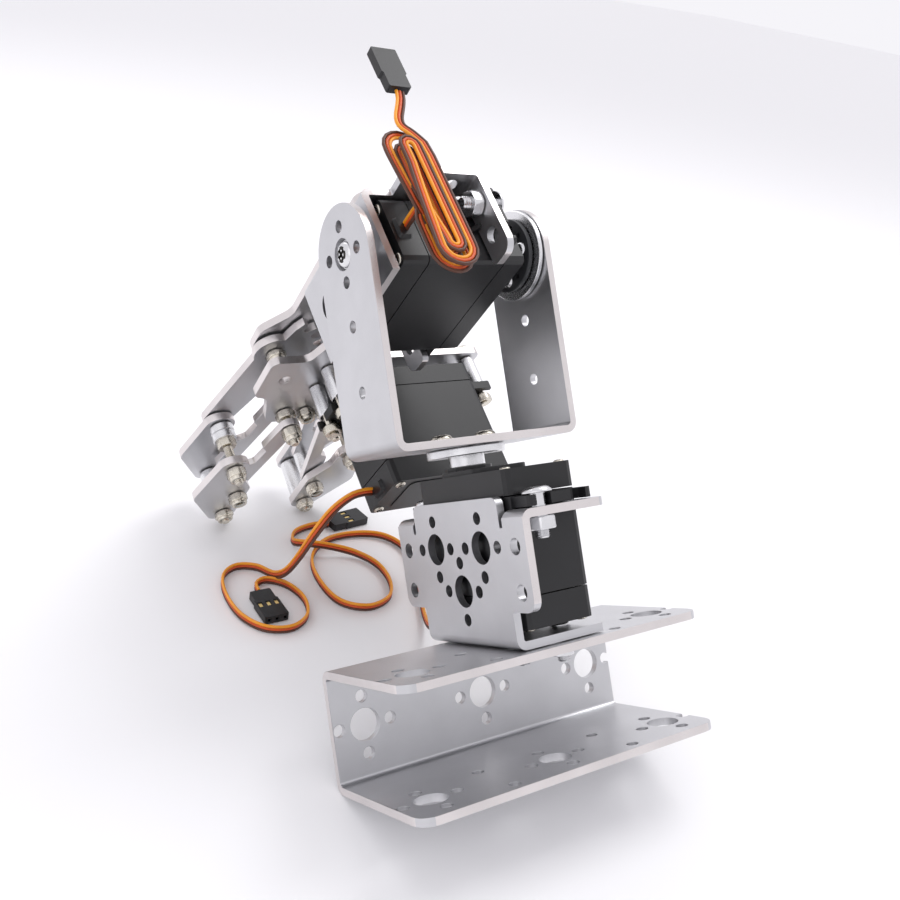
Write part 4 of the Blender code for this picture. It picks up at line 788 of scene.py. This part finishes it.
def smooth(route, step=1.1):
    knots = [Vector(route[0])] + [Vector(p) for p in route] + [Vector(route[-1])]
    dense = []
    for a, b, c, d in zip(knots, knots[1:], knots[2:], knots[3:]):
        for k in range(12):
            t = k / 12
            dense.append(0.5 * (2 * b + (c - a) * t + (2 * a - 5 * b + 4 * c - d) * t ** 2
                                + (3 * b - a - 3 * c + d) * t ** 3))
    dense.append(knots[-2])
    points, run = [dense[0]], 0.0
    for p, q in zip(dense, dense[1:]):
        run += (q - p).length
        if run >= step:
            points.append(q)
            run = 0.0
    if (points[-1] - dense[-1]).length > 1e-6:
        if (points[-1] - dense[-1]).length < step / 2 and len(points) > 2:
            points.pop()
        points.append(dense[-1])
    return points


def ribbon(name, body, points, flat, base=None, **facts):
    """Three wires side by side along the points; flat(i, tangent) gives the ribbon's width direction."""
    cage = bmesh.new()
    count = len(points)
    for wire in range(3):
        shift = (wire - 1) * 2 * WIRE * 0.985
        rings = []
        for i, point in enumerate(points):
            tangent = (points[min(i + 1, count - 1)] - points[max(i - 1, 0)]).normalized()
            across = flat(i, tangent)
            across = (across - tangent * across.dot(tangent)).normalized()
            up = tangent.cross(across)
            middle = point + across * shift
            rings.append([cage.verts.new(middle + (across * math.cos(a) + up * math.sin(a)) * WIRE)
                          for a in [2 * math.pi * k / 8 for k in range(8)]])
        for a, b in zip(rings, rings[1:]):
            for k in range(8):
                cage.faces.new((a[k], a[(k + 1) % 8], b[(k + 1) % 8], b[k])).material_index = wire
        cage.faces.new(rings[0]).material_index = wire
        cage.faces.new(rings[-1]).material_index = wire
    base = base or Matrix.Identity(4)
    replaced = facts.pop("replaced")
    made = put(name, cage, base, body, WIRES, 60, replaced)
    path = [base @ (p * MM) for p in points]
    length = sum((q - p).length for p, q in zip(path, path[1:]))
    return made, length


def plug(name, body, matrix, node):
    """Three-way connector housing: cable end at the origin, mating end at +x."""
    cage = solid(rounded([(0.4, -3.3, 0.5), (5.0, -3.3, 0), (5.4, -3.75, 0.2), (14, -3.75, 0.3),
                          (14, 3.75, 0.3), (5.4, 3.75, 0.2), (5.0, 3.3, 0), (0.4, 3.3, 0.5)], 3),
                 -1.25, 1.25, "z")
    cutters = bmesh.new()
    for way in (-1, 0, 1):
        for low, high, thick in (((6.4, way * 2.54 - 0.7), (8.6, way * 2.54 + 0.7), (0.9, 2.0)),
                                 ((12.6, way * 2.54 - 0.45), (15, way * 2.54 + 0.45), (-0.45, 0.45))):
            piece = solid([low, (high[0], low[1]), high, (low[0], high[1])], *thick, "z")
            mesh = bpy.data.meshes.new("slot")
            piece.to_mesh(mesh)
            cutters.from_mesh(mesh)
            piece.free()
    cage = carve(cage, [(cutters, "DIFFERENCE")], 0.1)
    for way in (-1, 0, 1):
        x, y = 7.5, way * 2.54
        corners = [cage.verts.new((x + a, y + b, 0.93))
                   for a, b in ((-1, -0.5), (1, -0.5), (1, 0.5), (-1, 0.5))]
        cage.faces.new(corners).material_index = 1
    return put(name, cage, matrix, body, [PLASTIC, BRASS], 35, (node,))


def hank_turns():
    """Long flat turns of the folded lead: two beside each other, then two on top of them."""
    points = []
    total = 4.0
    steps = 230
    for i in range(steps + 1):
        turn = total * i / steps
        layer = -20.6 if turn < 1.9 else (-23.4 if turn > 2.15 else -20.6 - 2.8 * (turn - 1.9) / 0.25)
        inner = min(1.0, max(0.0, (turn - 0.8) / 0.35)) * (1 - min(1.0, max(0.0, (turn - 2.85) / 0.35)))
        wide = 4.65 - 2.7 * inner
        run = 20.65 - 4.65 - 1.2 * inner
        length = 4 * run + 2 * math.pi * wide
        s = ((turn % 1.0) * length + run + 6.0 * (1 - i / steps)) % length
        if s < 2 * run:
            x, u = -run + s, -wide
        elif s < 2 * run + math.pi * wide:
            a = (s - 2 * run) / wide
            x, u = run + wide * math.sin(a), -wide * math.cos(a)
        elif s < 4 * run + math.pi * wide:
            x, u = run - (s - 2 * run - math.pi * wide), wide
        else:
            a = (s - 4 * run - math.pi * wide) / wide
            x, u = -run - wide * math.sin(a), wide * math.cos(a)
        points.append(Vector((x, layer, -14 + u)))
    return points


def leads():
    up = Vector((0, 0, 1))
    heading = Matrix.Rotation(math.radians(8), 4, "Z")
    place = Matrix.Translation(Vector(PAN_LEAD_ROUTE[-1]) * MM) @ heading
    end = plug("pan_plug", "base", place, "pan_lead_plug")
    lengths = [ribbon("pan_servo_lead", "base", smooth(PAN_LEAD_ROUTE), lambda i, t: up, lay="loose",
                      with_pieces=[end], replaced=("pan_lead",))[1]]
    heading = Matrix.Rotation(math.radians(-89), 4, "Z")
    place = Matrix.Translation(Vector(CLAW_LEAD_ROUTE[-1]) * MM) @ heading
    end = plug("claw_plug", "tilt", place, "claw_lead_plug")
    lengths.append(ribbon("claw_servo_lead", "tilt", smooth(CLAW_LEAD_ROUTE), lambda i, t: up, lay="loose",
                          with_pieces=[end], replaced=("claw_lead",))[1])
    turn = Matrix(((-1, 0, 0), (0, 0, 1), (0, 1, 0)))
    end = plug("tilt_plug", "tilt", at(TILT, *TILT_END[-1], turn), "tilt_lead_plug")
    tail = smooth(TILT_TAIL)
    hank = hank_turns()
    first = next(i for i, p in enumerate(hank) if p.x > 8.0)
    last = max(i for i, p in enumerate(hank) if p.z > -12 and p.x > -13.5)
    route = tail + hank[first:last] + smooth(TILT_END)
    outward = Vector((0, 1, 0))

    def flat(i, tangent):
        if i < len(tail) - 4:
            return Vector((-1, 0, 0))
        return tangent.cross(outward)
    lengths.append(ribbon("tilt_servo_lead", "tilt", route, flat, TILT, lay="coiled", with_pieces=[end],
                          replaced=("tilt_lead_tail", "tilt_lead_hank", "tilt_lead_end"))[1])
    return lengths


# ------------------------------------------------------------------ servos and horns


def grommet(name, body, seat, side):
    """Moulded strain relief where a lead leaves a servo's bottom cover."""
    y, z = side * 10.2 - side * 20.35, -25.0
    outline = [(-3.2, -1.9, 0.9), (3.2, -1.9, 0.9), (3.2, 1.9, 0.9), (-3.2, 1.9, 0.9)]
    cage = solid(rounded(outline, 4), 0, 1.0, "z")
    for v in cage.verts:
        if v.co.z > 0.5:
            v.co.x *= 0.8
            v.co.y *= 0.75
    turn = Matrix(((1, 0, 0), (0, 0, -side), (0, side, 0)))
    put(name, cage, at(seat, 0, y, z, turn), body, [PLASTIC], 30)


def servo_details(name, body, seat, side):
    """Case screws on the bottom cover, top screws and the raised step on the gear cover."""
    mid = side * 10.2
    flip = Matrix(((1, 0, 0), (0, -1, 0), (0, 0, -1)))
    for i, (x, y) in enumerate(((-7.6, -18.0), (7.6, -18.0), (-7.6, 18.0), (7.6, 18.0))):
        fastener(f"{name}_case_screw_{i + 1}", body, at(seat, x, mid + y, -28.02, flip),
                 [("head", 0, 1.55, 0.6)], (), NICKEL, 0.5 + i)
    cage = solid(rounded([(-7.9, mid - 14.5, 2), (7.9, mid - 14.5, 2), (7.9, mid + 14.5, 2),
                          (-7.9, mid + 14.5, 2)], 5), -28.28, -27.9, "z")
    cage = carve(cage, [], 0.12)
    put(f"{name}_bottom_panel", cage, seat, body, [PLASTIC], 30)
    for i, (x, y) in enumerate(((-7.9, 17.9 * side), (7.9, 17.9 * side))):
        fastener(f"{name}_top_screw_{i + 1}", body, at(seat, x, mid + y, 9.45), [("head", 0, 1.3, 0.5)], (),
                 NICKEL, 0.2 + i)
    low, high = sorted((mid - side * 12.6, mid + side * 6.0))
    outline = [(-8.0, low, 3), (8.0, low, 3), (8.0, high, 3), (-8.0, high, 3)]
    cage = solid(rounded(outline, 5), 9.3, 10.7, "z")
    hole = drills([(0, 0, 10, 6.5)], 3)
    cage = carve(cage, [(hole, "DIFFERENCE")], 0.2)
    put(f"{name}_cover_step", cage, seat, body, [PLASTIC], 30)
    for way in (-1, 1):
        y = mid + way * 20.35
        loop = [(y - way * 0.3, 0.3), (y + way * 5.2, 0.3), (y - way * 0.3, -4.2)]
        cage = carve(solid(loop, -0.7, 0.7, "x"), [], 0.1)
        put(f"{name}_rib_{'ab'[way > 0]}_0", cage, seat, body, [PLASTIC], 30)


def horns():
    top, low = 79.0 - SEAT, 11.9
    cage = bmesh.new()
    lathe(cage, [(3.1, low), (4.6, low), (4.6, top - 2), (5.0, top - 2), (10.1, top - 2), (10.3, top - 1.8),
                 (10.3, top - 0.2), (10.1, top), (3.1, top)], 64, cyclic=True)
    cage = carve(cage, [(drills([(7 * math.cos(a + 0.06), 7 * math.sin(a + 0.06), top, 1.6)
                                 for a in [math.pi * k / 4 for k in range(8)]], 6), "DIFFERENCE")], 0)
    put("round_pan_horn", cage, at(PAN, 0, 0, SEAT), "pan", [TURNED], 35, ("pan_horn",))
    axis = at(PAN, 0, 0, YOKE_TILT, TO_SIDE)
    cage = bmesh.new()
    lathe(cage, [(0, 24.75), (12.0, 24.75), (12.2, 24.9), (12.2, 25.8), (12.0, 25.95), (0, 25.95)], 72)
    put("round_tilt_plate", cage, axis, "pan", [TURNED], 35, ("tilt_horn_plate",))
    cage = bmesh.new()
    lathe(cage, [(3.1, 20.9), (4.2, 20.9), (4.4, 21.1), (4.4, 22.8), (9.6, 22.8), (9.9, 23.0), (9.9, 24.2),
                 (9.7, 24.4), (3.1, 24.4)], 72, cyclic=True)
    spots = [(r * math.cos(a), r * math.sin(a), 23, 0.75) for r in (7.6, 5.9) for a in
             [math.pi * (2 * k + (r < 7)) / 12 for k in range(12)]]
    cage = carve(cage, [(drills(spots, 3), "DIFFERENCE")], 0)
    put("round_tilt_horn", cage, axis, "pan", [HORN], 35, ("tilt_horn",))
    flip = Matrix(((0, 0, -1), (-1, 0, 0), (0, 1, 0)))
    for k in range(4):
        angle = math.pi * k / 2
        spot = at(PAN, 22.7, 7 * math.cos(angle), YOKE_TILT + 7 * math.sin(angle), flip)
        fastener(f"tilt_horn_screw_{k + 1}", "pan", spot, [("head", 0, 1.9, 1.2)], (), ZINC, 0.4 * k)
    spot = at(PAN, 0, 0, YOKE_TILT, flip)
    fastener("idler_screw", "pan", spot, [("rod", 19.0, 26.0, 1.9), ("spacer", 26.05, 27.4, 3.7),
                                          ("head", 27.3, 3.3, 1.4), ("nut", 20.9, 3.4, 1.6)],
             ("tilt_idler_screw",), ZINC, 0.5)


def dress_cad():
    """Finishes and softened edges for the CAD nodes that stay."""
    finishes = {"tilt_bearing": ZINC, "tilt_servo_output_shaft": BRASS, "claw_drive_horn": TURNED}
    for name, node in frame["nodes"].items():
        if "servo" in name and name.split("_servo_")[-1] in ("bottom_cover", "case", "gear_cover"):
            finish = PLASTIC
        elif name in finishes:
            finish = finishes[name]
        else:
            finish = SHEET
        node.data.materials.clear()
        node.data.materials.append(finish)
        shade(node.data, 32)
        if finish is PLASTIC:
            soften = node.modifiers.new("edges", "BEVEL")
            soften.width = 0.4 * MM
            soften.segments = 3
            soften.limit_method = "ANGLE"
            soften.angle_limit = math.radians(40)


studio()
LENGTHS = leads()
pan_seat = at(STAND, 0, 0, SEAT)
tilt_seat = at(TILT, 0, 0, TILT_SEAT)
claw_seat = at(TILT, 13.0, 57.5, 4.5, Matrix(((0, 0, -1), (-1, 0, 0), (0, 1, 0))))
dress_cad()
base_beam()
servo_bracket("pan_servo_bracket", "base", pan_seat, -1, "pan_bracket")
servo_bracket("tilt_servo_bracket", "tilt", tilt_seat, 1, "tilt_bracket")
yoke()
claw_plates()
fingers()
horns()
ear_bolts("pan_servo", "base", pan_seat, -1)
ear_bolts("tilt_servo", "tilt", tilt_seat, 1)
small_fasteners(pan_seat)
claw_fasteners()
for label, body_name, seat_at, hand in (("pan_servo", "base", pan_seat, -1),
                                        ("tilt_servo", "tilt", tilt_seat, 1),
                                        ("claw_servo", "tilt", claw_seat, 1)):
    servo_details(label, body_name, seat_at, hand)
    grommet(f"{label}_grommet", body_name, seat_at, hand)
